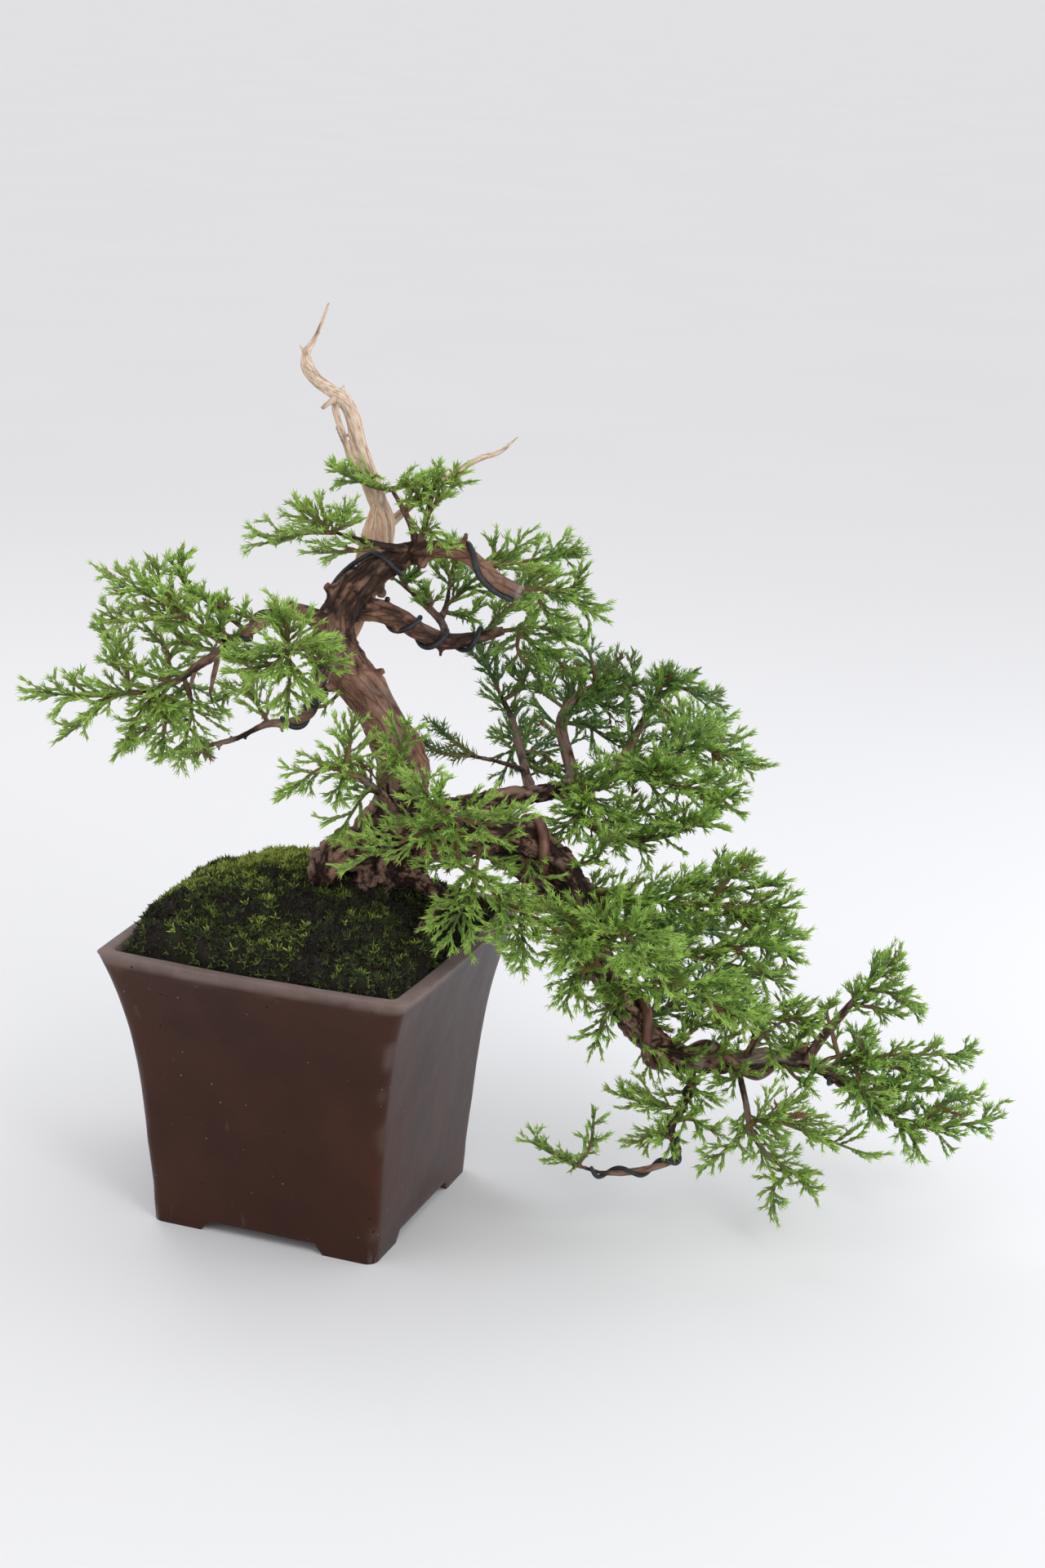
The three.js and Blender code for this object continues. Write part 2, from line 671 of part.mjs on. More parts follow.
function potShell() {
  const floor = FOOT_HEIGHT + FLOOR_THICK;
  const outer = POT_LEVELS.map((z) => squareRing(potHalf(z), z));
  outer.push(squareRing(POT_TOP_HALF, POT_HEIGHT - RIM_BEVEL));
  outer.push(squareRing(POT_TOP_HALF - RIM_BEVEL, POT_HEIGHT));
  const inner = [squareRing(POT_TOP_HALF - POT_WALL + RIM_BEVEL, POT_HEIGHT, POT_CORNER - 1)];
  for (const z of [POT_HEIGHT - 2 * RIM_BEVEL, ...POT_LEVELS.slice(2).reverse(), floor]) {
    inner.push(squareRing(potHalf(z) - POT_WALL, z, POT_INNER_CORNER));
  }
  return solidOf(loftOf([...outer, ...inner], new THREE.Vector3(0, 0, 0), new THREE.Vector3(0, 0, floor)));
}

function boxSolid(width, depth, height, x, y, z) {
  return solidOf(new THREE.BoxGeometry(width, depth, height).translate(x, y, z));
}

// The notch between two feet, cut right through from side to side, with sloping ends
function footNotch() {
  const half = POT_FOOT_HALF - FOOT_LENGTH;
  const outline = new THREE.Shape();
  outline.moveTo(-half - FOOT_SLOPE, -1);
  outline.lineTo(half + FOOT_SLOPE, -1);
  outline.lineTo(half, FOOT_HEIGHT);
  outline.lineTo(-half, FOOT_HEIGHT);
  const length = 3 * POT_FOOT_HALF;
  const notch = new THREE.ExtrudeGeometry(outline, { depth: length, bevelEnabled: false });
  return notch.rotateX(Math.PI / 2).translate(0, length / 2, 0);
}

function potSolid() {
  const recess = 2 * (POT_FOOT_HALF - FOOT_WIDTH);
  const drain = new THREE.CylinderGeometry(DRAIN_RADIUS, DRAIN_RADIUS, 4 * FLOOR_THICK, DRAIN_SIDES);
  return potShell()
    .subtract(solidOf(footNotch()))
    .subtract(solidOf(footNotch().rotateZ(Math.PI / 2)))
    .subtract(boxSolid(recess, recess, 2 * FOOT_HEIGHT, 0, 0, 0))
    .subtract(solidOf(drain.rotateX(Math.PI / 2)));
}

// Height of the mound over the soil's edge at a point of the pot's own frame
function moundAt(x, y) {
  const half = potHalf(SOIL_EDGE) - POT_WALL;
  const u = Math.min(Math.abs(x) / half, 1);
  const v = Math.min(Math.abs(y) / half, 1);
  const across = x * Math.cos(POT_TURN) - y * Math.sin(POT_TURN);
  const fall = THREE.MathUtils.smoothstep(across, MOUND_CREST_X, MOUND_LOW_X);
  return MOUND_HEIGHT * (1 - u ** MOUND_POWER) * (1 - v ** MOUND_POWER) * (1 - MOUND_LOW_SHARE * fall);
}

// Rings over the mound from its square edge to its round top, each point lifted by `lift`
function moundRings(inset, lift) {
  const half = potHalf(SOIL_EDGE) - POT_WALL - inset;
  return MOUND_SHARES.map((share) => {
    const corner = THREE.MathUtils.lerp(half * share, POT_INNER_CORNER, share);
    return squareRing(half * share, SOIL_EDGE, corner)
      .map((p) => new THREE.Vector3(p.x, p.y, SOIL_EDGE + moundAt(p.x, p.y) + lift()));
  });
}

function soilSolid() {
  const floor = FOOT_HEIGHT + FLOOR_THICK + GAP;
  const walls = [floor, ...POT_LEVELS.slice(2).filter((z) => z < SOIL_EDGE - GAP)]
    .map((z) => squareRing(potHalf(z) - POT_WALL - 2 * GAP, z, POT_INNER_CORNER));
  const top = moundRings(2 * GAP, () => 0);
  const crest = new THREE.Vector3(0, 0, SOIL_EDGE + moundAt(0, 0));
  return solidOf(loftOf([...walls, ...top], new THREE.Vector3(0, 0, floor), crest));
}

// A block under the mound's surface, which is lifted and inset as given
function moundBlock(inset, lift, base) {
  const rings = moundRings(inset, lift);
  const foot = rings[0].map((p) => new THREE.Vector3(p.x, p.y, base));
  const crest = new THREE.Vector3(0, 0, SOIL_EDGE + moundAt(0, 0) + lift());
  return solidOf(loftOf([foot, ...rings], new THREE.Vector3(0, 0, base), crest));
}

// Moss: a lumpy carpet on the mound, a little over the soil
function mossSolid() {
  const random = randomFrom(11);
  return moundBlock(2 * GAP, () => MOSS_THICK + MOSS_LUMP * random(), SOIL_EDGE - GAP)
    .subtract(moundBlock(GAP, () => 1.5 * GAP, SOIL_EDGE - 2 * MOSS_THICK));
}

// Mesh plate over the drain hole
function screenSolid() {
  const middle = FOOT_HEIGHT + FLOOR_THICK + GAP + SCREEN_THICK / 2;
  let plate = boxSolid(SCREEN_SIZE, SCREEN_SIZE, SCREEN_THICK, 0, 0, middle);
  const pitch = SCREEN_HOLE + SCREEN_BAR;
  for (const x of [-pitch, 0, pitch]) {
    for (const y of [-pitch, 0, pitch]) {
      plate = plate.subtract(boxSolid(SCREEN_HOLE, SCREEN_HOLE, 4 * SCREEN_THICK, x, y, middle));
    }
  }
  return plate;
}

// A wire that lies on a limb, clear of its bark all the way
function wirePath(wire) {
  const limb = LIMBS[wire.limb];
  const curve = curveOf(limb);
  const stretch = 1 / Math.cos(THREE.MathUtils.degToRad(WIRE_STEP / 2));
  const stops = [];
  wire.knots.slice(1).forEach(([share, angle], i) => {
    const [fromShare, fromAngle] = wire.knots[i];
    const steps = Math.ceil(Math.abs(angle - fromAngle) / WIRE_STEP);
    for (let k = i ? 1 : 0; k <= steps; k++) {
      const done = k / steps;
      stops.push([fromShare + (share - fromShare) * done, fromAngle + (angle - fromAngle) * done]);
    }
  });
  let across = new THREE.Vector3(0, 0, 1);
  return stops.map(([share, angle]) => {
    const along = curve.getTangent(share);
    across = across.clone().addScaledVector(along, -across.dot(along)).normalize();
    const side = along.clone().cross(across);
    const turn = THREE.MathUtils.degToRad(angle);
    const reach = (radiusAt(limb, share) + wire.radius + GAP) * stretch;
    return curve.getPoint(share)
      .addScaledVector(across, reach * Math.cos(turn))
      .addScaledVector(side, reach * Math.sin(turn));
  });
}

// The route of a plume: from inside what carries it, through its listed points
function plumeCurve(plume, own, shift) {
  const foot = typeof plume.on === 'number'
    ? own[plume.on].curve.getPoint(plume.at)
    : curveOf(LIMBS[plume.on]).getPoint(Math.min(plume.at + shift, 1));
  return new THREE.CatmullRomCurve3([foot, ...plume.through.map(vec)], false, 'catmullrom', 0.5);
}

function coreOf(curve) {
  const points = [];
  const radii = [];
  for (let i = 0; i <= CORE_STEPS; i++) {
    points.push(curve.getPoint(i / CORE_STEPS));
    radii.push(THREE.MathUtils.lerp(CORE_RADIUS, CORE_TIP, i / CORE_STEPS));
  }
  return { points, radii };
}

// A closed three-sided body that grows: a triangle of its skin is pulled out into a core or a shoot
class Sprig {
  constructor(start, heading, radius) {
    const side = heading.clone().cross(new THREE.Vector3(0, 0, 1)).normalize();
    const across = side.clone().cross(heading);
    const corners = [0, 1, 2].map((k) => start.clone()
      .addScaledVector(across, radius * Math.cos((2 * Math.PI * k) / 3))
      .addScaledVector(side, radius * Math.sin((2 * Math.PI * k) / 3)));
    this.points = corners;
    this.faces = [[0, 2, 1], [0, 1, 2]];
  }

  middle(face) {
    const [a, b, c] = face.map((i) => this.points[i]);
    return a.clone().add(b).add(c).divideScalar(3);
  }

  normal(face) {
    const [a, b, c] = face.map((i) => this.points[i]);
    return b.clone().sub(a).cross(c.clone().sub(a)).normalize();
  }

  // Pulls a face through the centres and closes it at the tip; returns the side faces, step by step
  pull(face, centres, radii, tip) {
    this.faces.splice(this.faces.indexOf(face), 1);
    let ring = face;
    let from = this.middle(face);
    let spokes = face.map((i) => this.points[i].clone().sub(from));
    const steps = [];
    centres.forEach((centre, i) => {
      const ahead = (centres[i + 1] ?? tip).clone().sub(from).normalize();
      spokes = spokes.map((spoke) => spoke.clone().addScaledVector(ahead, -spoke.dot(ahead)).normalize());
      const next = spokes.map((spoke) => (
        this.points.push(centre.clone().addScaledVector(spoke, radii[i])) - 1));
      const sides = [];
      for (let k = 0; k < 3; k++) {
        const j = (k + 1) % 3;
        const near = [ring[k], ring[j], next[j]];
        this.faces.push(near, [ring[k], next[j], next[k]]);
        sides.push(near);
      }
      steps.push(sides);
      ring = next;
      from = centre;
    });
    const end = this.points.push(tip) - 1;
    for (let k = 0; k < 3; k++) this.faces.push([ring[k], ring[(k + 1) % 3], end]);
    return steps;
  }

  // The free side face of a step that looks most nearly the given way
  facing(sides, way) {
    const free = sides.filter((face) => this.faces.includes(face));
    return free.reduce((best, face) => (
      !best || this.normal(face).dot(way) > this.normal(best).dot(way) ? face : best), null);
  }

  solid() {
    const geometry = new THREE.BufferGeometry();
    const numbers = this.points.flatMap((p) => p.toArray());
    geometry.setAttribute('position', new THREE.Float32BufferAttribute(numbers, 3));
    geometry.setIndex(this.faces.flat());
    return solidOf(geometry);
  }
}

// Whether a shoot stays over the moss and outside the pot
function isOverPot(point) {
  const x = point.x * Math.cos(-POT_TURN) - point.y * Math.sin(-POT_TURN);
  const y = point.x * Math.sin(-POT_TURN) + point.y * Math.cos(-POT_TURN);
  const reach = Math.max(Math.abs(x), Math.abs(y)) - POT_CLEARANCE;
  if (point.z < FLOOR_CLEARANCE) return false;
  if (reach > POT_TOP_HALF) return true;
  const top = Math.max(POT_HEIGHT, SOIL_EDGE + moundAt(x, y) + MOSS_THICK + MOSS_LUMP);
  return point.z > top + POT_CLEARANCE || reach > potHalf(Math.min(point.z, POT_HEIGHT));
}

// One shoot on a core: alternate sides, some along the top or under it, more upright near the tip
function shootRoute(plume, core, sprig, step, k, random) {
  const share = (step + 0.5) / CORE_STEPS;
  const along = core.curve.getTangent(share);
  const flat = new THREE.Vector3(0, 0, 1).cross(along).normalize();
  const up = along.clone().cross(flat);
  const isUpright = k % UPRIGHT_EVERY === UPRIGHT_EVERY - 1;
  const roll = isUpright ? Math.PI * random() : (k % 2 ? 1 : -1) * (SHOOT_ROLL + ROLL_SPREAD * random());
  const out = up.clone().multiplyScalar(Math.cos(roll)).addScaledVector(flat, Math.sin(roll));
  const face = sprig.facing(core.sides[step], out);
  if (!face) return null;
  const lean = SHOOT_LEAN + LEAN_SPREAD * random();
  out.lerp(sprig.normal(face), 0.5).normalize();
  const heading = along.clone().multiplyScalar(Math.cos(lean)).addScaledVector(out, Math.sin(lean));
  const length = plume.wide * (SHOOT_LONG - SHOOT_TAPER * share)
    * (1 + LENGTH_SPREAD * (2 * random() - 1));
  const root = sprig.middle(face);
  const belly = root.clone().addScaledVector(heading, length * SHOOT_BELLY_AT);
  heading.z += SHOOT_LIFT;
  const tip = belly.clone().addScaledVector(heading.normalize(), length * (1 - SHOOT_BELLY_AT));
  return { face, root, belly, tip };
}

// Whether a shoot passes clear of everything but the stretch of core that it grows from
function shootIsClear(route, owner, core, step) {
  const start = route.root.clone().lerp(route.belly, 0.3);
  const near = (rod) => rod.core === core && Math.abs(rod.step - step) <= 1;
  return [route.belly, route.tip].every(isOverPot) && placed.every((rod) => {
    const need = SHOOT_BELLY + rod.radius + (rod.owner === owner ? OWN_GAP : PASS_GAP);
    return rodDistance(route.belly, route.tip, rod.a, rod.b) > need
      && (near(rod) || rodDistance(start, route.belly, rod.a, rod.b) > need);
  });
}

// Grows the shoots of one plume, each tried a few times before its place is left bare
function growShoots(name, plume, core, sprig, random) {
  for (let k = 0; k < SHOOTS_PER_PLUME; k++) {
    const step = FIRST_STEP + Math.floor((k * (CORE_STEPS - FIRST_STEP)) / SHOOTS_PER_PLUME);
    for (let tries = 0; tries < SHOOT_TRIES; tries++) {
      const route = shootRoute(plume, core, sprig, step, k, random);
      if (!route || !shootIsClear(route, name, core, step)) continue;
      sprig.pull(route.face, [route.belly], [SHOOT_BELLY], route.tip);
      placed.push({ owner: name, a: route.root, b: route.belly, radius: SHOOT_BELLY });
      placed.push({ owner: name, a: route.belly, b: route.tip, radius: SHOOT_BELLY * 0.7 });
      break;
    }
  }
}

// The body of one spray: its cores first, then the shoots
function growSpray(name, plumes, own, random) {
  const first = own[0];
  const sprig = new Sprig(first.points[0], first.curve.getTangent(0), CORE_RADIUS);
  own.forEach((core, i) => {
    const { on, at } = plumes[i];
    const start = i === 0 ? sprig.faces[1]
      : sprig.facing(own[on].sides[Math.round(at * CORE_STEPS)], core.curve.getTangent(0));
    const top = core.points[CORE_STEPS];
    const end = top.clone().addScaledVector(core.curve.getTangent(1), plumes[i].wide * END_SHARE);
    const centres = [...core.points.slice(1), top.clone().lerp(end, 0.4)];
    core.sides = sprig.pull(start, centres, [...core.radii.slice(1), SHOOT_BELLY], end);
    placed.push({ owner: name, a: top, b: end, radius: SHOOT_BELLY, core, step: CORE_STEPS });
  });
  own.forEach((core, i) => growShoots(name, plumes[i], core, sprig, random));
  return sprig.solid();
}

// The part: living wood and deadwood first, then the wires, then each spray where there is room left
const woodLimbs = Object.values(LIMBS);
const jinLimbs = Object.values(JIN);
const fatWood = fuse(woodLimbs.map((limb) => limbSolid(limb, GAP * 1.3)));
const fatJin = fuse(jinLimbs.map((limb) => limbSolid(limb, GAP * 1.3)));
const woodSolid = largestBody(fuse(woodLimbs.map((limb) => limbSolid(limb))).subtract(fatJin));
const jinSolid = largestBody(fuse(jinLimbs.map((limb) => limbSolid(limb))));

for (const limb of [...woodLimbs, ...jinLimbs]) {
  const curve = curveOf(limb);
  const count = 2 * (limb.points.length - 1);
  const shares = Array.from({ length: count + 1 }, (_, i) => i / count);
  addRods('wood', shares.map((share) => curve.getPoint(share)), shares.map((share) => radiusAt(limb, share)));
}

const wireSolids = {};
for (const [name, wire] of Object.entries(WIRES)) {
  const points = wirePath(wire);
  addRods('wire', points, points.map(() => wire.radius));
  wireSolids[name] = solidOf(tubeOf(points, points.map(() => wire.radius), wire.sides));
}

// Each spray's cores, with a foot on a limb slid along it until the core is clear of the wires
function placeCores(name, plumes) {
  const own = [];
  for (const plume of plumes) {
    const made = SLIDES.map((shift) => {
      const curve = plumeCurve(plume, own, shift);
      return { curve, ...coreOf(curve) };
    });
    const isFree = (core) => placed.every((rod) => rod.owner === 'wood' || rod.owner === name
      || core.points.slice(1).every((p, i) => rodDistance(core.points[i], p, rod.a, rod.b)
        > CORE_RADIUS + rod.radius + PASS_GAP));
    own.push(made.find(isFree) ?? made[0]);
  }
  own.forEach((core) => core.points.slice(1).forEach((p, i) => {
    placed.push({ owner: name, a: core.points[i], b: p, radius: core.radii[i], core, step: i });
  }));
  return own;
}

const cores = {};
for (const [name, plumes] of Object.entries(SPRAYS)) {
  cores[name] = placeCores(name, plumes);
}
const spraySolids = {};
Object.entries(cores).forEach(([name, own], i) => {
  const solid = growSpray(name, SPRAYS[name], own, randomFrom(FIRST_SEED + i));
  spraySolids[name] = largestBody(solid.subtract(fatWood));
});

const part = new THREE.Group();
const bonsai = new THREE.Group();
const pot = new THREE.Group();
pot.rotation.z = POT_TURN;
bonsai.add(pot);
part.add(bonsai);

function addMesh(group, name, solid, look) {
  const mesh = new THREE.Mesh(geometryOf(solid), new THREE.MeshStandardMaterial(look));
  mesh.name = name;
  group.add(mesh);
}

// The hole that the trunk stands in, turned into the pot's own frame
const trunkHole = solidOf(geometryOf(fatWood).rotateZ(-POT_TURN));
const screenSeat = boxSolid(SCREEN_SIZE + 2 * GAP, SCREEN_SIZE + 2 * GAP, SCREEN_THICK + 2 * GAP, 0, 0,
  FOOT_HEIGHT + FLOOR_THICK + GAP + SCREEN_THICK / 2);
addMesh(pot, 'pot', potSolid(), CLAY);
addMesh(pot, 'drain_screen', screenSolid(), SCREEN);
addMesh(pot, 'soil', largestBody(soilSolid().subtract(trunkHole).subtract(screenSeat)), SOIL);
addMesh(pot, 'moss', largestBody(mossSolid().subtract(trunkHole)), MOSS);
addMesh(bonsai, 'trunk_and_branches', woodSolid, BARK);
addMesh(bonsai, 'deadwood_jin', jinSolid, DEADWOOD);
for (const [name, solid] of Object.entries(wireSolids)) {
  addMesh(bonsai, name, solid, WIRES[name].look);
}
for (const [name, solid] of Object.entries(spraySolids)) {
  addMesh(bonsai, `foliage_${name}`, solid, LEAF);
}

// The origin is the middle of the whole bonsai's footprint, on the plane that the pot stands on
const middle = new THREE.Box3().setFromObject(part).getCenter(new THREE.Vector3());
bonsai.position.set(-middle.x, -middle.y, 0);

export default part;
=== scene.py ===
"""Dresses an itoigawa juniper bonsai and its pot: bark, deadwood, wires, shoots, moss and clay.

Sizes are millimetres in the tree's own frame: the pot's middle is at x = y = 0, its feet stand on
z = 0 and the viewer looks along +Y. A piece is turned into metres in the part's frame when it is made.
"""

from __future__ import annotations

import logging
import math
from dataclasses import dataclass, field
from enum import Enum

import bpy
import numpy as np
from mathutils import Matrix, Vector

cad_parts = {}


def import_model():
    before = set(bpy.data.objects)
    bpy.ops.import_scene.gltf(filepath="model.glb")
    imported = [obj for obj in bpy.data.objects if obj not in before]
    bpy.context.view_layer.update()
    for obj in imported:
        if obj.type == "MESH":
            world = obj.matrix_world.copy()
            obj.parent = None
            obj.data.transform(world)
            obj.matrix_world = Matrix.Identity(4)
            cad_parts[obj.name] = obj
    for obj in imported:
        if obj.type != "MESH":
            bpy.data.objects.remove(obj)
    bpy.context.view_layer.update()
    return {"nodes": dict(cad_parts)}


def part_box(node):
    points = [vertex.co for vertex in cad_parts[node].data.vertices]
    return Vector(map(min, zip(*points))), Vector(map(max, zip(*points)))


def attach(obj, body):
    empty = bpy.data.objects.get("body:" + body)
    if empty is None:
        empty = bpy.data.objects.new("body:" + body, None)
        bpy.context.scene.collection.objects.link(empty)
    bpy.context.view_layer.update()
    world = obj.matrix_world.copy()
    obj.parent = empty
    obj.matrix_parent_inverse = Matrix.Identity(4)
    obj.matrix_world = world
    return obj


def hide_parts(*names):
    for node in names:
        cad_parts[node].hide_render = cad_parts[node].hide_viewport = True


LOG = logging.getLogger("bonsai")
MM = 0.001
UP = np.array((0.0, 0.0, 1.0))
Array = np.ndarray
Random = np.random.Generator
Point = tuple[float, float, float]
Station = tuple[float, float, float, float]
Colour = tuple[float, float, float, float]


@dataclass(frozen=True)
class Limb:
    """A limb of wood: the points that it passes, each with its radius there."""

    stations: tuple[Station, ...]

    def course(self) -> Course:
        """Gives the course along its middle."""
        return Course(np.array(self.stations, float)[:, :3])

    def radius(self, shares: Array | float) -> Array:
        """Gives its radius at shares from 0 to 1 of its course."""
        places = np.linspace(0, 1, len(self.stations))
        return np.interp(shares, places, [station[3] for station in self.stations])


class WireSkin(Enum):
    """The two training wires, by the material slot of each."""

    COPPER = "copper_wire"
    BLACK = "black_wire"


@dataclass(frozen=True)
class WireRun:
    """A wire on a limb: at each knot it is so far along the limb, at that angle round it in degrees."""

    limb: str
    knots: tuple[tuple[float, float], ...]
    radius: float
    skin: WireSkin = WireSkin.BLACK
    lead: tuple[Point, ...] = ()


@dataclass(frozen=True)
class Plume:
    """A plume of foliage: the limb or earlier plume it grows from, where, its half width and points."""

    on: str | int
    at: float
    wide: float
    through: tuple[Point, ...]


def plumes(*rows: tuple) -> tuple[Plume, ...]:
    """Makes plumes from rows of what each grows from, where, its half width and its points."""
    return tuple(Plume(on, at, wide, tuple(through)) for on, at, wide, *through in rows)


LIMBS: dict[str, Limb] = {
    "trunk": Limb((
        (23, 14, 160, 21), (26, 12, 178, 20), (33, 10, 198, 17), (41, 6, 218, 14), (43.2, 2, 241, 12.8),
        (35, -2, 262, 11.4), (23.8, -4, 281, 10.9), (12.8, -6, 297, 11.2), (7.8, -8, 309, 11),
        (8, -8, 320, 10.5), (14, -6, 332, 10), (26, -2, 343, 8.5), (38, 2, 350, 7), (48, 5, 356, 5),
    )),
    "rootLeft": Limb((
        (32, 8, 194, 13), (21, 0, 196, 12), (12, -7, 197, 11), (6, -12, 192, 9.5), (5, -14, 181, 8),
    )),
    "rootFront": Limb((
        (44, 4, 192, 9), (54, -6, 182, 5), (65, -14, 179, 3), (63, -24, 176, 2.6), (58, -34, 171, 2.3),
        (51, -44, 167, 1.8),
    )),
    "rootBack": Limb(((26, 14, 186, 8), (22, 34, 188, 7), (16, 52, 180, 5), (12, 62, 160, 3))),
    "cascade": Limb((
        (40, 8, 202, 14), (63, 2, 206, 13.5), (89, -6, 209, 11.5), (110, -12, 207, 10),
        (126, -17, 197, 9), (137, -20, 179, 8.5), (145, -22, 156, 8.5), (155, -24, 134, 8),
        (171, -25, 112, 7.5), (190, -25, 98, 7), (212, -24, 95, 6.5), (235, -22, 97, 5.5),
        (257, -20, 95, 4), (277, -18, 84, 3), (295, -16, 71, 2.3), (313, -14, 59, 1.8),
    )),
    "stub": Limb(((84, -2, 206, 9), (103, 9, 190, 8), (125, 18, 166, 6.5))),
    "rearRight": Limb((
        (50, 6, 213, 8), (71, 12, 216, 7), (92, 20, 219, 6.5), (113, 28, 221, 5.5), (133, 35, 223, 4.5),
        (152, 42, 228, 3.5), (173, 45, 237, 2),
    )),
    "rearUpLeft": Limb((
        (109, 27, 221, 3), (104, 45, 235, 2.6), (98, 55, 252, 2.2), (90, 62, 267, 1.5),
    )),
    "rearUpMid": Limb((
        (133, 35, 223, 4), (128, 50, 236, 3.5), (124, 58, 252, 3), (131, 64, 264, 2.3),
        (144, 68, 272, 1.6),
    )),
    "rearUpRight": Limb((
        (153, 42, 228, 3), (161, 40, 248, 2.6), (169, 38, 266, 2.2), (175, 36, 281, 1.5),
    )),
    "rearLow": Limb(((124, 32, 222, 3), (139, 20, 209, 2.6), (161, 12, 203, 2.2), (182, 8, 208, 1.5))),
    "juvenileTwig": Limb((
        (110, 42, 222, 2), (104, 34, 232, 1.7), (90, 26, 239, 1.5), (77, 20, 243, 1.2),
    )),
    "leftBranch": Limb((
        (12, -7, 313, 6.5), (-7, -18, 325, 4.6), (-19, -28, 326, 3.6), (-32, -40, 321, 3.1),
        (-43, -46, 313, 2.7), (-55, -44, 304, 2.4), (-70, -38, 292, 2.0), (-85, -34, 286, 1.6),
    )),
    "leftNear": Limb(((8, -9, 309, 4), (-3, -38, 314, 3), (-10, -56, 317, 1.8))),
    "leftLoop": Limb((
        (16, -6, 301, 4), (8, -27, 303, 3.4), (3, -37, 294, 3), (-1, -40, 281, 2.7),
        (-11, -37, 274, 2.2), (-24, -32, 271, 1.8), (-39, -28, 262, 1.5), (-51, -26, 258, 1.1),
    )),
    "crownLeft": Limb(((44, 3, 354, 3.2), (31, -6, 358, 2.3), (19, -12, 362, 1.8), (8, -16, 366, 1.3))),
    "crownUp": Limb(((47, 4, 356, 2.6), (44, 6, 366, 1.8), (39, 8, 375, 1.5), (34, 10, 383, 1.1))),
    "crownRight": Limb(((49, 4, 356, 2.6), (51, 2, 367, 1.8), (53, 0, 378, 1.5), (55, -2, 387, 1.1))),
    "upperRight": Limb((
        (44, 4, 352, 6), (59, -4, 357, 4.6), (73, -12, 356, 4.1), (82, -18, 350, 3.8),
        (90, -22, 345, 3.7), (101, -26, 341, 3.8),
    )),
    "midRight": Limb((
        (12, -6, 326, 7), (28, 2, 323, 6), (40, 8, 317, 5.2), (51, 14, 309, 5), (63, 19, 304, 4.6),
        (77, 24, 305, 3.8), (92, 30, 308, 2.4),
    )),
    "midTwig": Limb(((63, 19, 304, 2.6), (60, 22, 313, 2.2), (49, 20, 325, 1.9), (39, 18, 334, 1.2))),
    "midTwigUp": Limb(((59, 22, 314, 2), (62, 27, 321, 1.7), (63, 31, 329, 1.2))),
    "lowTwig": Limb((
        (196, -25, 98, 3), (198, -34, 84, 2.4), (191, -42, 75, 2.2), (188, -48, 64, 2.1),
        (192, -50, 56, 2), (186, -52, 50, 1.9), (171, -54, 46, 1.8), (154, -56, 45, 1.6),
        (142, -58, 49, 1.2),
    )),
    "lowTwigRight": Limb((
        (221, -23, 96, 2.3), (226, -36, 79, 1.8), (230, -42, 64, 1.6), (240, -46, 52, 1.4),
        (251, -47, 46, 1.0),
    )),
    "outUp": Limb((
        (257, -20, 95, 3.4), (266, -15, 108, 2.8), (276, -11, 120, 2.4), (285, -8, 131, 1.5),
    )),
    "snagUp": Limb((
        (226, -24, 98, 1.8), (230, -27, 108, 1.3), (238, -28, 117, 1.1), (243, -30, 122, 0.7),
    )),
    "snagFork": Limb(((231, -27, 109, 1.2), (227, -30, 116, 1.0), (222, -31, 121, 0.6))),
    "snagOut": Limb((
        (262, -19, 92, 2.0), (270, -24, 100, 1.4), (281, -27, 103, 1.2), (292, -29, 101, 0.8),
    )),
    "snagMid": Limb(((246, -21, 97, 1.5), (252, -27, 106, 1.1), (262, -29, 112, 0.7))),
    "leftHang": Limb((
        (-47, -42, 307, 1.5), (-49, -44, 297, 1.2), (-50, -46, 289, 1.0), (-47, -46, 280, 0.6),
    )),
    "leftSprig": Limb(((-58, -42, 301, 1.4), (-60, -46, 292, 1.1), (-58, -48, 286, 0.7))),
    "frontTwig": Limb(((38, 4, 214, 3.6), (36, -28, 232, 2.6), (31, -50, 246, 2), (24, -65, 256, 1.4))),
    "frontTwigRight": Limb(((72, 0, 210, 3.2), (72, -32, 226, 2.4), (68, -58, 235, 1.5))),
}

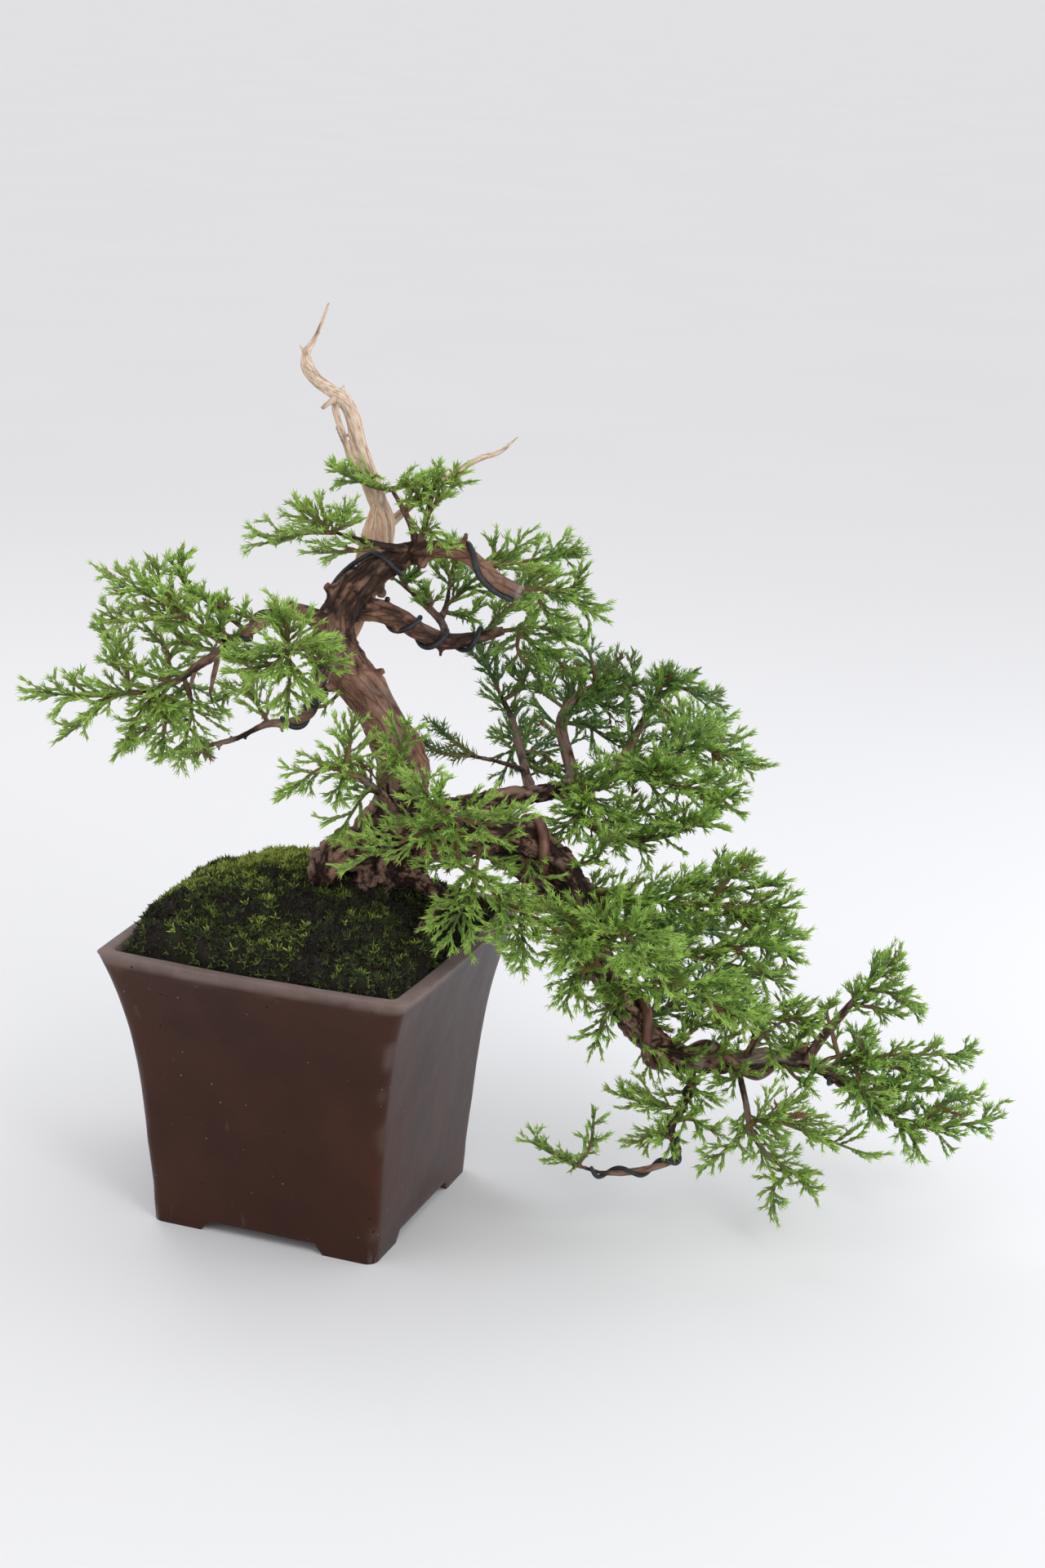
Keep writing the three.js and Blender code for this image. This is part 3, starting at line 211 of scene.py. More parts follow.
JIN: dict[str, Limb] = {
    "main": Limb((
        (12, 9, 304, 3), (18, 11, 318, 4.5), (27, 12, 344, 5.6), (29.8, 13, 365.4, 5.4),
        (26, 14, 378, 4.8), (21, 14, 391.5, 4.2), (16.8, 15, 404.3, 3.9), (13, 16, 418, 3.7),
        (8.8, 17, 426, 3.5), (2.2, 18, 430.6, 3.3), (-4.4, 18, 434.9, 3.2), (-9.6, 18, 441.6, 3.1),
        (-10.3, 19, 449.1, 2.2), (-5.3, 20, 458.4, 1.2), (0, 21, 473.7, 0.6),
    )),
    "strand": Limb((
        (15.5, 12, 390, 2), (11.6, 12, 401, 1.8), (8.4, 12, 410.5, 1.7), (5.2, 14, 419, 1.6),
        (3.4, 17, 427, 1.6),
    )),
    "side": Limb((
        (30, 14, 362, 2.6), (46, 18, 377, 2.1), (62, 21, 389, 1.7), (76, 23, 398, 1.5),
        (87, 24, 402, 1.3), (96, 25, 410, 0.5),
    )),
    "spike": Limb(((-9.4, 18, 445.2, 1.8), (-11.5, 18, 448.4, 1.1), (-14, 18, 453, 0.4))),
    "peg": Limb(((5.6, 16, 428.2, 1.6), (1.5, 13, 425.4, 1.3), (-2, 10, 422.6, 1.0))),
    "snagLow": Limb(((11, 12, 403, 1.5), (8, 12, 408, 1.1), (5, 12, 413.5, 0.5))),
    "snagHigh": Limb(((7, 17, 426, 1.8), (7.8, 17, 430.5, 1.2), (8.2, 17, 434, 0.5))),
    "foot": Limb(((19, 8, 344, 3.6), (22, 9, 357, 3.8), (25, 11, 370, 3.2), (27, 12, 383, 2))),
}

WIRES: dict[str, WireRun] = {
    "wire_thick_cascade": WireRun("cascade", ((0.176, -60), (0.8, 1400)), 2.8, WireSkin.COPPER, (
        (109, -6, 172), (120, -8, 171), (132, -4, 168), (138, 12, 170), (127, 14, 187), (112, 6, 202),
    )),
    "wire_black_crown": WireRun("upperRight", ((0.3, -70), (0.42, 20), (0.62, 112), (0.95, 175)), 1.6),
    "wire_black_apex": WireRun("trunk", ((0.75, -60), (0.87, -5), (0.91, 150)), 1.35),
    "wire_black_middle": WireRun("midRight", ((0.2, 362), (0.88, -726)), 1.4),
    "wire_black_left": WireRun("leftBranch", ((0.18, 40), (0.6, 860)), 1.4),
    "wire_black_loop": WireRun("leftLoop", ((0.2, 10), (0.62, 780)), 1.4),
    "wire_black_outer": WireRun("cascade", ((0.84, 80), (0.985, 1230)), 1.2),
    "wire_black_low": WireRun("lowTwig", ((0.12, 30), (0.96, 1830)), 1.2),
}

SPRAYS: dict[str, tuple[Plume, ...]] = {
    "left_high": plumes(
        ("leftBranch", 0.36, 10, (-45, -54, 336), (-55, -64, 344)),
        ("leftBranch", 0.44, 10, (-61, -60, 349), (-61, -66, 361)),
    ),
    "left_far_high": plumes(
        ("leftBranch", 0.56, 21, (-66, -64, 336), (-88, -74, 350)),
        (0, 0.4, 13, (-84, -68, 331), (-94, -70, 331)), (0, 0.4, 10, (-71, -68, 348), (-72, -72, 358)),
        ("leftBranch", 0.5, 11, (-42, -52, 321), (-45, -56, 330)),
        ("leftBranch", 0.6, 14, (-60, -46, 314), (-70, -50, 323)),
    ),
    "left_tip": plumes(
        ("leftBranch", 1, 16, (-110, -34, 283), (-136, -32, 283)),
        (0, 0.3, 11, (-110, -44, 275), (-120, -46, 267)),
        (0, 0.15, 13, (-95, -26, 303), (-105, -22, 313)),
        ("leftBranch", 0.92, 10, (-88, -40, 273), (-91, -46, 266)),
        ("leftBranch", 0.9, 13, (-74, -36, 270), (-75, -40, 261)),
        ("leftBranch", 0.85, 12, (-94, -36, 299), (-98, -38, 306)),
        ("leftBranch", 0.95, 14, (-79, -36, 285), (-71, -40, 278)),
    ),
    "left_low": plumes(
        ("leftBranch", 0.8, 19, (-62, -26, 274), (-68, -20, 252)),
        (0, 0.35, 16, (-80, -30, 270), (-92, -30, 259)),
        ("leftBranch", 0.88, 14, (-73, -32, 306), (-82, -28, 315)),
    ),
    "loop_tip": plumes(("leftLoop", 1, 12, (-57, -22, 254), (-60, -14, 248))),
    "left_near": plumes(
        ("leftNear", 1, 22, (-10, -74, 320), (-6, -92, 326)),
        (0, 0.3, 20, (-17, -72, 313), (-31, -82, 312)),
        ("leftNear", 0.7, 15, (2, -62, 314), (10, -74, 312)),
        (0, 0.3, 15, (-10, -78, 333), (-13, -86, 341)), (0, 0.4, 17, (-9, -72, 308), (-9, -80, 294)),
    ),
    "left_under": plumes(
        ("leftLoop", 0.7, 14, (-36, -18, 284), (-51, -10, 276)),
        ("trunk", 0.5, 7, (5, -10, 277), (-4, -12, 274)),
    ),
    "front_fan": plumes(
        ("frontTwig", 1, 17, (8, -76, 263), (-6, -84, 254)),
        (0, 0.2, 14, (20, -70, 271), (21, -72, 282)),
        ("frontTwig", 0.5, 18, (27, -44, 241), (17, -60, 228)),
        ("frontTwig", 0.7, 12, (18, -58, 256), (15, -64, 247)),
    ),
    "front_mid": plumes(("frontTwig", 0.6, 18, (41, -54, 257), (46, -64, 277))),
    "front_mass_up": plumes(
        ("frontTwigRight", 1, 20, (61, -72, 246), (55, -84, 259)),
        (0, 0.25, 19, (84, -76, 238), (99, -90, 244)),
    ),
    "front_mass_low": plumes(
        ("frontTwigRight", 0.62, 22, (51, -60, 224), (28, -74, 217)),
        ("frontTwigRight", 0.5, 13, (74, -60, 214), (85, -66, 207)),
    ),
    "front_low": plumes(
        ("cascade", 0.12, 24, (82, -46, 199), (74, -64, 182)),
        (0, 0.4, 19, (96, -50, 187), (108, -68, 172)), (1, 0.4, 10, (128, -62, 176), (122, -66, 168)),
        ("cascade", 0.2, 15, (106, -40, 184), (108, -62, 165)),
    ),
    "crown_left": plumes(
        ("crownLeft", 1, 20, (-6, -20, 366), (-24, -26, 362)),
        (0, 0.2, 14, (3, -22, 371), (-8, -24, 378)), (0, 0.1, 11, (11, -20, 370), (12, -22, 377)),
        ("crownLeft", 0.35, 15, (19, -14, 357), (2, -22, 357)),
    ),
    "crown_top": plumes(
        ("crownUp", 1, 15, (23, 4, 386), (10, -2, 393)), (0, 0.15, 10, (40, 5, 386), (46, 0, 388)),
        ("crownUp", 0.6, 14, (46, 2, 379), (50, -3, 386)),
    ),
    "crown_right": plumes(
        ("crownRight", 1, 14, (57, -4, 389), (64, -6, 393)),
        ("crownRight", 0.5, 12, (57, -8, 383), (53, -10, 389)),
        ("crownRight", 0.2, 10, (53, -10, 367), (60, -14, 363)),
    ),
    "upper_right": plumes(
        ("upperRight", 0.55, 18, (102, -6, 353), (121, 0, 356)),
        ("upperRight", 0.45, 10, (84, 0, 349), (86, 4, 358)),
    ),
    "upper_low": plumes(
        ("upperRight", 0.9, 16, (118, -22, 342), (133, -20, 333)),
        (0, 0.35, 14, (110, -16, 334), (120, -12, 323)), (0, 0.3, 9, (124, -16, 342), (130, -14, 350)),
    ),
    "middle_right": plumes(
        ("midRight", 1, 16, (111, 36, 309), (125, 39, 303)),
        (0, 0.25, 17, (108, 46, 296), (125, 52, 285)), (0, 0.2, 16, (100, 40, 294), (112, 46, 277)),
    ),
    "middle_up": plumes(("midRight", 0.86, 17, (96, 36, 321), (104, 40, 332))),
    "middle_twig": plumes(
        ("midTwigUp", 0.97, 14, (64, 35, 337), (66, 38, 345)),
        ("midTwigUp", 0.5, 14, (72, 30, 329), (82, 28, 333)),
        ("midTwig", 0.9, 12, (42, 18, 335), (50, 18, 344)),
        ("midTwig", 0.55, 9, (55, 14, 326), (51, 10, 332)),
        ("midTwigUp", 0.3, 9, (71, 22, 317), (78, 22, 321)),
    ),
    "rear_left": plumes(
        ("rearUpLeft", 1, 19, (84, 66, 278), (79, 70, 288)),
        ("rearUpLeft", 0.9, 11, (103, 62, 270), (98, 64, 278)),
    ),
    "rear_low_left": plumes(
        ("rearUpLeft", 0.45, 13, (100, 58, 240), (95, 62, 223)),
        ("rearUpLeft", 0.4, 12, (114, 52, 236), (124, 54, 228)),
        ("rearUpLeft", 0.3, 11, (116, 50, 226), (109, 50, 232)),
    ),
    "rear_mid": plumes(
        ("rearUpMid", 1, 17, (149, 72, 268), (151, 78, 273)),
        ("rearUpMid", 0.5, 15, (138, 60, 250), (149, 60, 243)),
        ("rearUpMid", 0.75, 16, (142, 64, 262), (154, 62, 259)),
        ("rearUpMid", 0.9, 12, (160, 66, 271), (161, 68, 281)),
        ("rearUpMid", 0.95, 12, (140, 66, 280), (135, 70, 295)),
    ),
    "rear_up": plumes(("rearUpMid", 0.62, 19, (115, 74, 264), (109, 80, 277))),
    "rear_right": plumes(
        ("rearUpRight", 1, 10, (176, 36, 281), (177, 34, 284)),
        (0, 0.2, 15, (187, 36, 279), (202, 38, 272)),
    ),
    "juvenile": plumes(
        ("juvenileTwig", 1, 10, (65, 18, 244), (55, 17, 248), (48, 16, 253)),
        ("juvenileTwig", 0.92, 10, (66, 20, 252), (57, 20, 260)),
    ),
    "pad_far": plumes(
        ("rearRight", 1, 21, (198, 43, 246), (221, 40, 240)),
        (0, 0.3, 22, (190, 68, 244), (204, 96, 240)),
    ),
    "pad_near": plumes(
        ("rearRight", 0.86, 21, (186, 20, 231), (208, 12, 229)),
        (0, 0.3, 16, (172, 14, 240), (184, 8, 245)),
    ),
    "pad_front": plumes(
        ("rearRight", 0.6, 20, (141, 10, 229), (134, -10, 222)),
        (0, 0.6, 15, (130, -8, 219), (122, -14, 211)), (0, 0.4, 12, (148, 0, 217), (155, -6, 212)),
    ),
    "pad_under": plumes(
        ("rearLow", 1, 15, (195, 3, 217), (206, 0, 229)), (0, 0.2, 15, (188, -8, 218), (196, -18, 224)),
        ("rearLow", 0.45, 14, (160, 18, 214), (176, 12, 218)),
    ),
    "cascade_high": plumes(
        ("cascade", 0.32, 13, (150, -20, 185), (164, -22, 181)),
        ("cascade", 0.27, 14, (142, -26, 204), (147, -30, 214)),
    ),
    "cascade_top": plumes(
        ("cascade", 0.35, 19, (181, -14, 183), (219, -12, 198)),
        (0, 0.35, 19, (209, -20, 180), (238, -22, 181)), (1, 0.6, 16, (222, -20, 174), (236, -20, 170)),
        (1, 0.4, 13, (211, -24, 196), (217, -26, 203)), (1, 0.5, 12, (233, -20, 162), (244, -22, 155)),
        (0, 0.6, 11, (222, -14, 188), (234, -14, 191)), (0, 0.4, 10, (204, -16, 174), (214, -18, 175)),
    ),
    "cascade_mid": plumes(
        ("cascade", 0.42, 21, (206, -30, 160), (238, -32, 166)),
        (0, 0.3, 15, (224, -28, 149), (237, -26, 143)),
        ("cascade", 0.58, 17, (214, -26, 125), (240, -26, 121)),
        ("snagUp", 1, 13, (251, -31, 124), (258, -32, 122)),
        ("snagMid", 1, 10, (243, -30, 128), (247, -32, 131)),
        ("cascade", 0.7, 12, (232, -34, 118), (238, -42, 108)),
        ("snagFork", 1, 12, (218, -32, 125), (212, -33, 124)),
        ("cascade", 0.6, 12, (210, -32, 103), (217, -34, 116)),
        ("cascade", 0.66, 12, (220, -36, 93), (213, -40, 91)),
        ("snagMid", 0.8, 13, (245, -30, 105), (254, -32, 115)),
        ("cascade", 0.76, 11, (254, -32, 90), (261, -36, 97)),
    ),
    "cascade_near": plumes(("cascade", 0.4, 26, (156, -56, 177), (170, -86, 172))),
    "cascade_near_left": plumes(
        ("cascade", 0.37, 20, (133, -50, 177), (129, -76, 173)),
        ("cascade", 0.4, 20, (138, -46, 168), (132, -62, 147)),
        (1, 0.5, 10, (139, -58, 157), (135, -62, 149)),
    ),
    "cascade_near_low": plumes(
        ("cascade", 0.47, 26, (182, -50, 149), (214, -66, 142)),
        (0, 0.15, 14, (152, -44, 130), (147, -50, 116)),
    ),
    "cascade_back": plumes(("cascade", 0.41, 25, (176, 12, 152), (208, 50, 142))),
    "cascade_back_low": plumes(("cascade", 0.52, 22, (196, 2, 122), (226, 32, 124))),
    "outer_up": plumes(
        ("outUp", 1, 16, (292, -6, 138), (299, -4, 145)), (0, 0.1, 14, (300, -6, 130), (312, -2, 121)),
        ("outUp", 0.8, 11, (293, -12, 124), (302, -12, 122)),
        ("snagOut", 0.45, 7, (266, -26, 125), (267, -28, 130)),
    ),
    "outer_long": plumes(
        ("cascade", 0.83, 16, (295, -22, 101), (337, -22, 104)),
        ("cascade", 0.9, 12, (304, -22, 84), (310, -26, 95)),
        (0, 0.3, 10, (316, -24, 94), (326, -26, 91)), (0, 0.3, 15, (284, -36, 92), (290, -50, 82)),
        ("snagOut", 1, 9, (280, -30, 115), (285, -32, 117)),
    ),
    "outer_tip": plumes(
        ("cascade", 1, 15, (333, -14, 59), (357, -12, 63)),
        (0, 0.25, 13, (328, -20, 73), (344, -18, 79)),
        ("cascade", 0.93, 13, (308, -18, 81), (321, -18, 82)),
        ("cascade", 0.96, 15, (310, -22, 64), (317, -26, 54)),
    ),
    "low_end": plumes(
        ("lowTwig", 1, 11, (132, -60, 54), (117, -64, 64)),
        (0, 0.1, 10, (146, -62, 63), (147, -66, 81)),
    ),
    "low_left": plumes(
        ("lowTwig", 0.24, 16, (178, -42, 78), (161, -46, 84)),
        ("lowTwig", 0.4, 11, (180, -52, 66), (170, -56, 63)),
        ("lowTwig", 0.3, 12, (198, -48, 73), (208, -54, 70)),
        ("lowTwig", 0.12, 13, (195, -40, 90), (204, -44, 85)),
    ),
    "low_right": plumes(
        ("lowTwigRight", 0.4, 21, (243, -45, 72), (283, -50, 60)),
        (0, 0.12, 13, (218, -54, 62), (208, -58, 54)),
    ),
    "low_bottom": plumes(
        ("lowTwigRight", 1, 12, (255, -48, 44), (260, -48, 37)),
        (0, 0.12, 10, (242, -50, 38), (243, -50, 27)),
    ),
}


def tint(red: float, green: float, blue: float) -> Colour:
    """Gives a shader colour.

    Args:
        red: Red as a screen shows it, from 0 to 255.
        green: Green, the same way.
        blue: Blue, the same way.

    Returns:
        The colour in linear light, with an alpha of 1.
    """
    shares = [value / 255 for value in (red, green, blue)]
    linear = [s / 12.92 if s <= 0.04045 else ((s + 0.055) / 1.055) ** 2.4 for s in shares]
    return (linear[0], linear[1], linear[2], 1.0)


def unit(vectors: Array) -> Array:
    """Gives vectors of length 1 with the same directions."""
    return vectors / np.maximum(np.linalg.norm(vectors, axis=-1, keepdims=True), 1e-9)


def smooth(low: float, high: float, values: Array) -> Array:
    """Gives 0 below low, 1 above high and a smooth rise between."""
    share = np.clip((np.asarray(values, float) - low) / (high - low), 0, 1)
    return share * share * (3 - 2 * share)


def scramble(cells: Array, seed: int) -> Array:
    """Gives a random number for each whole-number place.

    Args:
        cells: Whole-number places, three to a row.
        seed: Sets which numbers come out.

    Returns:
        One number from 0 to 1 for each place, the same in every run.
    """
    cells = cells.astype(np.int64)
    mixed = cells[..., 0] * 73856093 ^ cells[..., 1] * 19349663 ^ cells[..., 2] * 83492791
    mixed = (mixed ^ (seed * 2654435761)) & 0xFFFFFFFF
    for _ in range(2):
        mixed = (((mixed >> 16) ^ mixed) * 0x45D9F3B) & 0xFFFFFFFF
    return ((mixed >> 8) & 0xFFFFFF) / 0xFFFFFF


def rumble(places: Array, size: float, octaves: int, seed: int) -> Array:
    """Gives smooth noise.

    Args:
        places: Points, three numbers to a row.
        size: How wide the largest lumps are.
        octaves: How many layers there are, each half as wide and half as strong as the one before.
        seed: Sets which noise comes out.

    Returns:
        One number from about -1 to 1 for each point.
    """
    total = np.zeros(places.shape[:-1])
    strength = 1.0
    for octave in range(octaves):
        spots = places * (2**octave / size) + 17.3 * octave
        floor = np.floor(spots)
        part = spots - floor
        part = part * part * (3 - 2 * part)
        value = np.zeros_like(total)
        for corner in range(8):
            step = np.array(((corner >> 2) & 1, (corner >> 1) & 1, corner & 1))
            weight = np.prod(np.where(step, part, 1 - part), axis=-1)
            value += weight * scramble(floor + step, seed + octave)
        total += strength * (2 * value - 1)
        strength *= 0.5
    return total * 1.3


def cushions(places: Array, size: float, seed: int) -> tuple[Array, Array]:
    """Splits space into uneven cells, as cushions of moss or flakes of bark.

    Args:
        places: Points, three numbers to a row.
        size: The mean width of a cell.
        seed: Sets which cells come out.

    Returns:
        The distance to the nearest cell's middle in cell widths, and that cell's random number.
    """
    spots = places / size
    floor = np.floor(spots)
    nearest = np.full(places.shape[:-1], 9.0)
    owner = np.zeros(places.shape[:-1])
    for i in (-1, 0, 1):
        for j in (-1, 0, 1):
            for k in (-1, 0, 1):
                cell = floor + np.array((i, j, k))
                middle = cell + np.stack([scramble(cell, seed + n) for n in range(3)], axis=-1)
                distance = np.linalg.norm(spots - middle, axis=-1)
                closer = distance < nearest
                nearest = np.where(closer, distance, nearest)
                owner = np.where(closer, scramble(cell, seed + 5), owner)
    return nearest, owner


class Course:
    """A smooth course through points, as the solids follow it."""

    def __init__(self, points: Array) -> None:
        """Takes the points that the course passes, in order."""
        self.spans = len(points) - 1
        self.controls = np.vstack([2 * points[0] - points[1], points, 2 * points[-1] - points[-2]])

    def _split(self, shares: Array | float) -> tuple[list[Array], Array]:
        """Finds the stretch of the course that each share lies on.

        Args:
            shares: Shares of the course from 0 to 1.

        Returns:
            The four control points round each share, and how far it is between the middle two.
        """
        place = np.clip(np.atleast_1d(np.asarray(shares, float)), 0, 1) * self.spans
        index = np.minimum(place.astype(int), self.spans - 1)
        return [self.controls[index + k] for k in range(4)], (place - index)[:, None]

    def at(self, shares: Array | float) -> Array:
        """Gives the course's points at shares from 0 to 1."""
        (a, b, c, d), t = self._split(shares)
        return 0.5 * (
            2 * b + (c - a) * t + (2 * a - 5 * b + 4 * c - d) * t**2 + (3 * b - a - 3 * c + d) * t**3
        )

    def heading(self, shares: Array | float) -> Array:
        """Gives the course's unit directions at shares from 0 to 1."""
        (a, b, c, d), t = self._split(shares)
        return unit(
            (c - a) + 2 * (2 * a - 5 * b + 4 * c - d) * t + 3 * (3 * b - a - 3 * c + d) * t**2
        )

    def length(self) -> float:
        """Gives the course's length."""
        points = self.at(np.linspace(0, 1, 12 * self.spans))
        return float(np.linalg.norm(np.diff(points, axis=0), axis=1).sum())


def frames(along: Array) -> tuple[Array, Array]:
    """Gives two directions across a course at each of its points, with as little twist as can be.

    Args:
        along: The course's unit directions.

    Returns:
        The directions that start nearest to upwards, and those at a right angle to them.
    """
    across = np.zeros_like(along)
    held = UP if abs(along[0, 2]) < 0.9 else np.array((1.0, 0.0, 0.0))
    for i, way in enumerate(along):
        held = held - way * np.dot(held, way)
        held = held / max(np.linalg.norm(held), 1e-9)
        across[i] = held
    return across, np.cross(along, across)


def swing(start: Array, side: Array, angle: Array) -> Array:
    """Gives directions turned by an angle from start towards side, which is square to start."""
    return start * np.cos(angle) + side * np.sin(angle)


def ring_faces(rings: int, sides: int) -> tuple[Array, Array]:
    """Gives the faces of a closed body of rings, whose two end points come after the rings' points.

    Args:
        rings: How many rings it has.
        sides: How many points there are to a ring.

    Returns:
        Its four-sided faces and its three-sided faces.
    """
    own = np.arange(sides)
    after = (own + 1) % sides
    row = np.arange(rings - 1)[:, None] * sides
    quads = np.stack([row + own, row + after, row + sides + after, row + sides + own], axis=-1)
    first, last = np.full(sides, rings * sides), (rings - 1) * sides
    start = np.stack([first, after, own], axis=-1)
    end = np.stack([first + 1, last + own, last + after], axis=-1)
    return quads.reshape(-1, 4), np.vstack([start, end])


def sleeve(points: Array, radii: Array, sides: int) -> tuple[Array, Array, Array]:
    """Makes a closed tube.

    Args:
        points: The points along its middle.
        radii: Its radius at each point, or at each side of each point.
        sides: How many sides it has.

    Returns:
        The tube's points, its four-sided faces and its three-sided faces.
    """
    across, side = frames(unit(np.gradient(points, axis=0)))
    spokes = swing(across[:, None], side[:, None], (np.arange(sides) * (2 * math.pi / sides))[:, None])
    reach = np.broadcast_to(np.asarray(radii, float).reshape(len(points), -1), (len(points), sides))
    rings = points[:, None] + reach[..., None] * spokes
    return np.vstack([rings.reshape(-1, 3), points[0], points[-1]]), *ring_faces(len(points), sides)


@dataclass
class Skin:
    """The points, faces and per-point values of one piece, gathered before it is made."""

    points: list[Array] = field(default_factory=list)
    quads: list[Array] = field(default_factory=list)
    triangles: list[Array] = field(default_factory=list)
    values: dict[str, list[Array]] = field(default_factory=dict)
    count: int = 0

    def add(self, points: Array, quads: Array | None, triangles: Array | None, **values: Array) -> None:
        """Adds a closed body.

        Args:
            points: Its points.
            quads: Its four-sided faces, or None.
            triangles: Its three-sided faces, or None.
            **values: Values for its points, each one number, one to a point or three to a point.
        """
        if quads is not None:
            self.quads.append(quads + self.count)
        if triangles is not None:
            self.triangles.append(triangles + self.count)
        self.points.append(points)
        for name, value in values.items():
            given = np.asarray(value, float)
            full = given if given.ndim else np.full(len(points), float(given))
            self.values.setdefault(name, []).append(full)
        self.count += len(points)

    def object(self, name: str, smooth_faces: bool = True) -> bpy.types.Object:
        """Makes the piece in the tree's frame.

        Args:
            name: The piece's name.
            smooth_faces: Whether its faces are shaded as one smooth skin.

        Returns:
            The new object, which is in no collection yet.
        """
        points = np.vstack(self.points) * MM
        quads = np.vstack(self.quads) if self.quads else np.zeros((0, 4), int)
        triangles = np.vstack(self.triangles) if self.triangles else np.zeros((0, 3), int)
        corners = np.concatenate([quads.ravel(), triangles.ravel()])
        sizes = np.concatenate([np.full(len(quads), 4), np.full(len(triangles), 3)])
        mesh = bpy.data.meshes.new(name)
        mesh.vertices.add(len(points))
        mesh.vertices.foreach_set("co", points.ravel())
        mesh.loops.add(len(corners))
        mesh.loops.foreach_set("vertex_index", corners.astype(np.int32))
        mesh.polygons.add(len(sizes))
        mesh.polygons.foreach_set("loop_start", (np.cumsum(sizes) - sizes).astype(np.int32))
        mesh.update(calc_edges=True)
        mesh.polygons.foreach_set("use_smooth", np.full(len(sizes), smooth_faces))
        for key, parts in self.values.items():
            write_value(mesh, key, np.concatenate(parts))
        return bpy.data.objects.new(name, mesh)


def write_value(mesh: bpy.types.Mesh, name: str, values: Array) -> None:
    """Writes values for the points of a mesh, for its material to read.

    Args:
        mesh: The mesh.
        name: What the material calls the values.
        values: One number or three numbers for each point.
    """
    kind, key = ("FLOAT", "value") if values.ndim == 1 else ("FLOAT_VECTOR", "vector")
    layer = mesh.attributes.new(name, kind, "POINT")
    layer.data.foreach_set(key, values.astype(np.float32).ravel())


def read_surface(mesh: bpy.types.Mesh) -> tuple[Array, Array]:
    """Reads the surface of a mesh.

    Args:
        mesh: The mesh.

    Returns:
        Its points in millimetres, and the outward direction at each.
    """
    read = []
    for items, key in ((mesh.vertices, "co"), (mesh.vertex_normals, "vector")):
        values = np.zeros(len(items) * 3, np.float32)
        items.foreach_get(key, values)
        read.append(values.reshape(-1, 3).astype(float))
    return read[0] / MM, read[1]


def write_points(mesh: bpy.types.Mesh, points: Array) -> None:
    """Moves the points of a mesh to places in millimetres."""
    mesh.vertices.foreach_set("co", (points * MM).astype(np.float32).ravel())
    mesh.update()


def applied(piece: bpy.types.Object) -> bpy.types.Mesh:
    """Applies all the modifiers of a piece.

    Args:
        piece: The piece, in no collection yet.

    Returns:
        Its new mesh.
    """
    scene = bpy.context.scene.collection
    scene.objects.link(piece)
    graph = bpy.context.evaluated_depsgraph_get()
    mesh = bpy.data.meshes.new_from_object(piece.evaluated_get(graph))
    scene.objects.unlink(piece)
    piece.modifiers.clear()
    piece.data = mesh
    return mesh


def even_skin(piece: bpy.types.Object, voxel: float) -> bpy.types.Mesh:
    """Fuses a piece's bodies into one even skin.

    Args:
        piece: The piece, of closed bodies that run into each other.
        voxel: The width of the new skin's faces, in millimetres.

    Returns:
        The piece's new mesh.
    """
    remesh = piece.modifiers.new("even", "REMESH")
    remesh.mode = "VOXEL"
    remesh.voxel_size = voxel * MM
    soften = piece.modifiers.new("soften", "SMOOTH")
    soften.factor = 0.5
    soften.iterations = 1
    mesh = applied(piece)
    mesh.polygons.foreach_set("use_smooth", np.ones(len(mesh.polygons), bool))
    return mesh


@dataclass(frozen=True)
class Placing:
    """Where the tree's frame lies in the part's frame."""

    shift: Point

    @staticmethod
    def from_pot() -> Placing:
        """Reads the place of the pot's middle from the part."""
        low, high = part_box("pot")
        return Placing(((low[0] + high[0]) / 2 / MM, (low[1] + high[1]) / 2 / MM, 0.0))

    def settle(
        self, piece: bpy.types.Object, material: bpy.types.Material, slot: str, *replaced: str
    ) -> None:
        """Puts a finished piece in its place on the part.

        Args:
            piece: The piece, made in the tree's frame.
            material: Its material.
            slot: The name of a material slot; it is not used.
            *replaced: The nodes of the part that it stands for.
        """
        piece.data.transform(Matrix.Translation(Vector(self.shift) * MM))
        piece.data.materials.clear()
        piece.data.materials.append(material)
        bpy.context.scene.collection.objects.link(piece)
        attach(piece, "root")
        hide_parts(*replaced)
        LOG.info("%s: %d faces", piece.name, len(piece.data.polygons))


class Signal:
    """A shader socket that can stand in Python sums."""

    def __init__(self, bench: Bench, socket: bpy.types.NodeSocket) -> None:
        """Wraps a socket of a node on a bench."""
        self.bench = bench
        self.socket = socket

    def _sum(self, operation: str, *values: Signal | float) -> Signal:
        """Adds one Math node."""
        return self.bench.node("ShaderNodeMath", {"operation": operation}, dict(enumerate(values)))

    def __add__(self, other: Signal | float) -> Signal:
        """Adds."""
        return self._sum("ADD", self, other)

    __radd__ = __add__

    def __sub__(self, other: Signal | float) -> Signal:
        """Subtracts."""
        return self._sum("SUBTRACT", self, other)

    def __rsub__(self, other: Signal | float) -> Signal:
        """Subtracts this from another."""
        return self._sum("SUBTRACT", other, self)

    def __mul__(self, other: Signal | float) -> Signal:
        """Multiplies."""
        return self._sum("MULTIPLY", self, other)

    __rmul__ = __mul__

    def rise(self, low: float, high: float) -> Signal:
        """Gives 0 below low, 1 above high and an even rise between."""
        values = {"Value": self, "From Min": low, "From Max": high}
        return self.bench.node("ShaderNodeMapRange", {"clamp": True}, values)


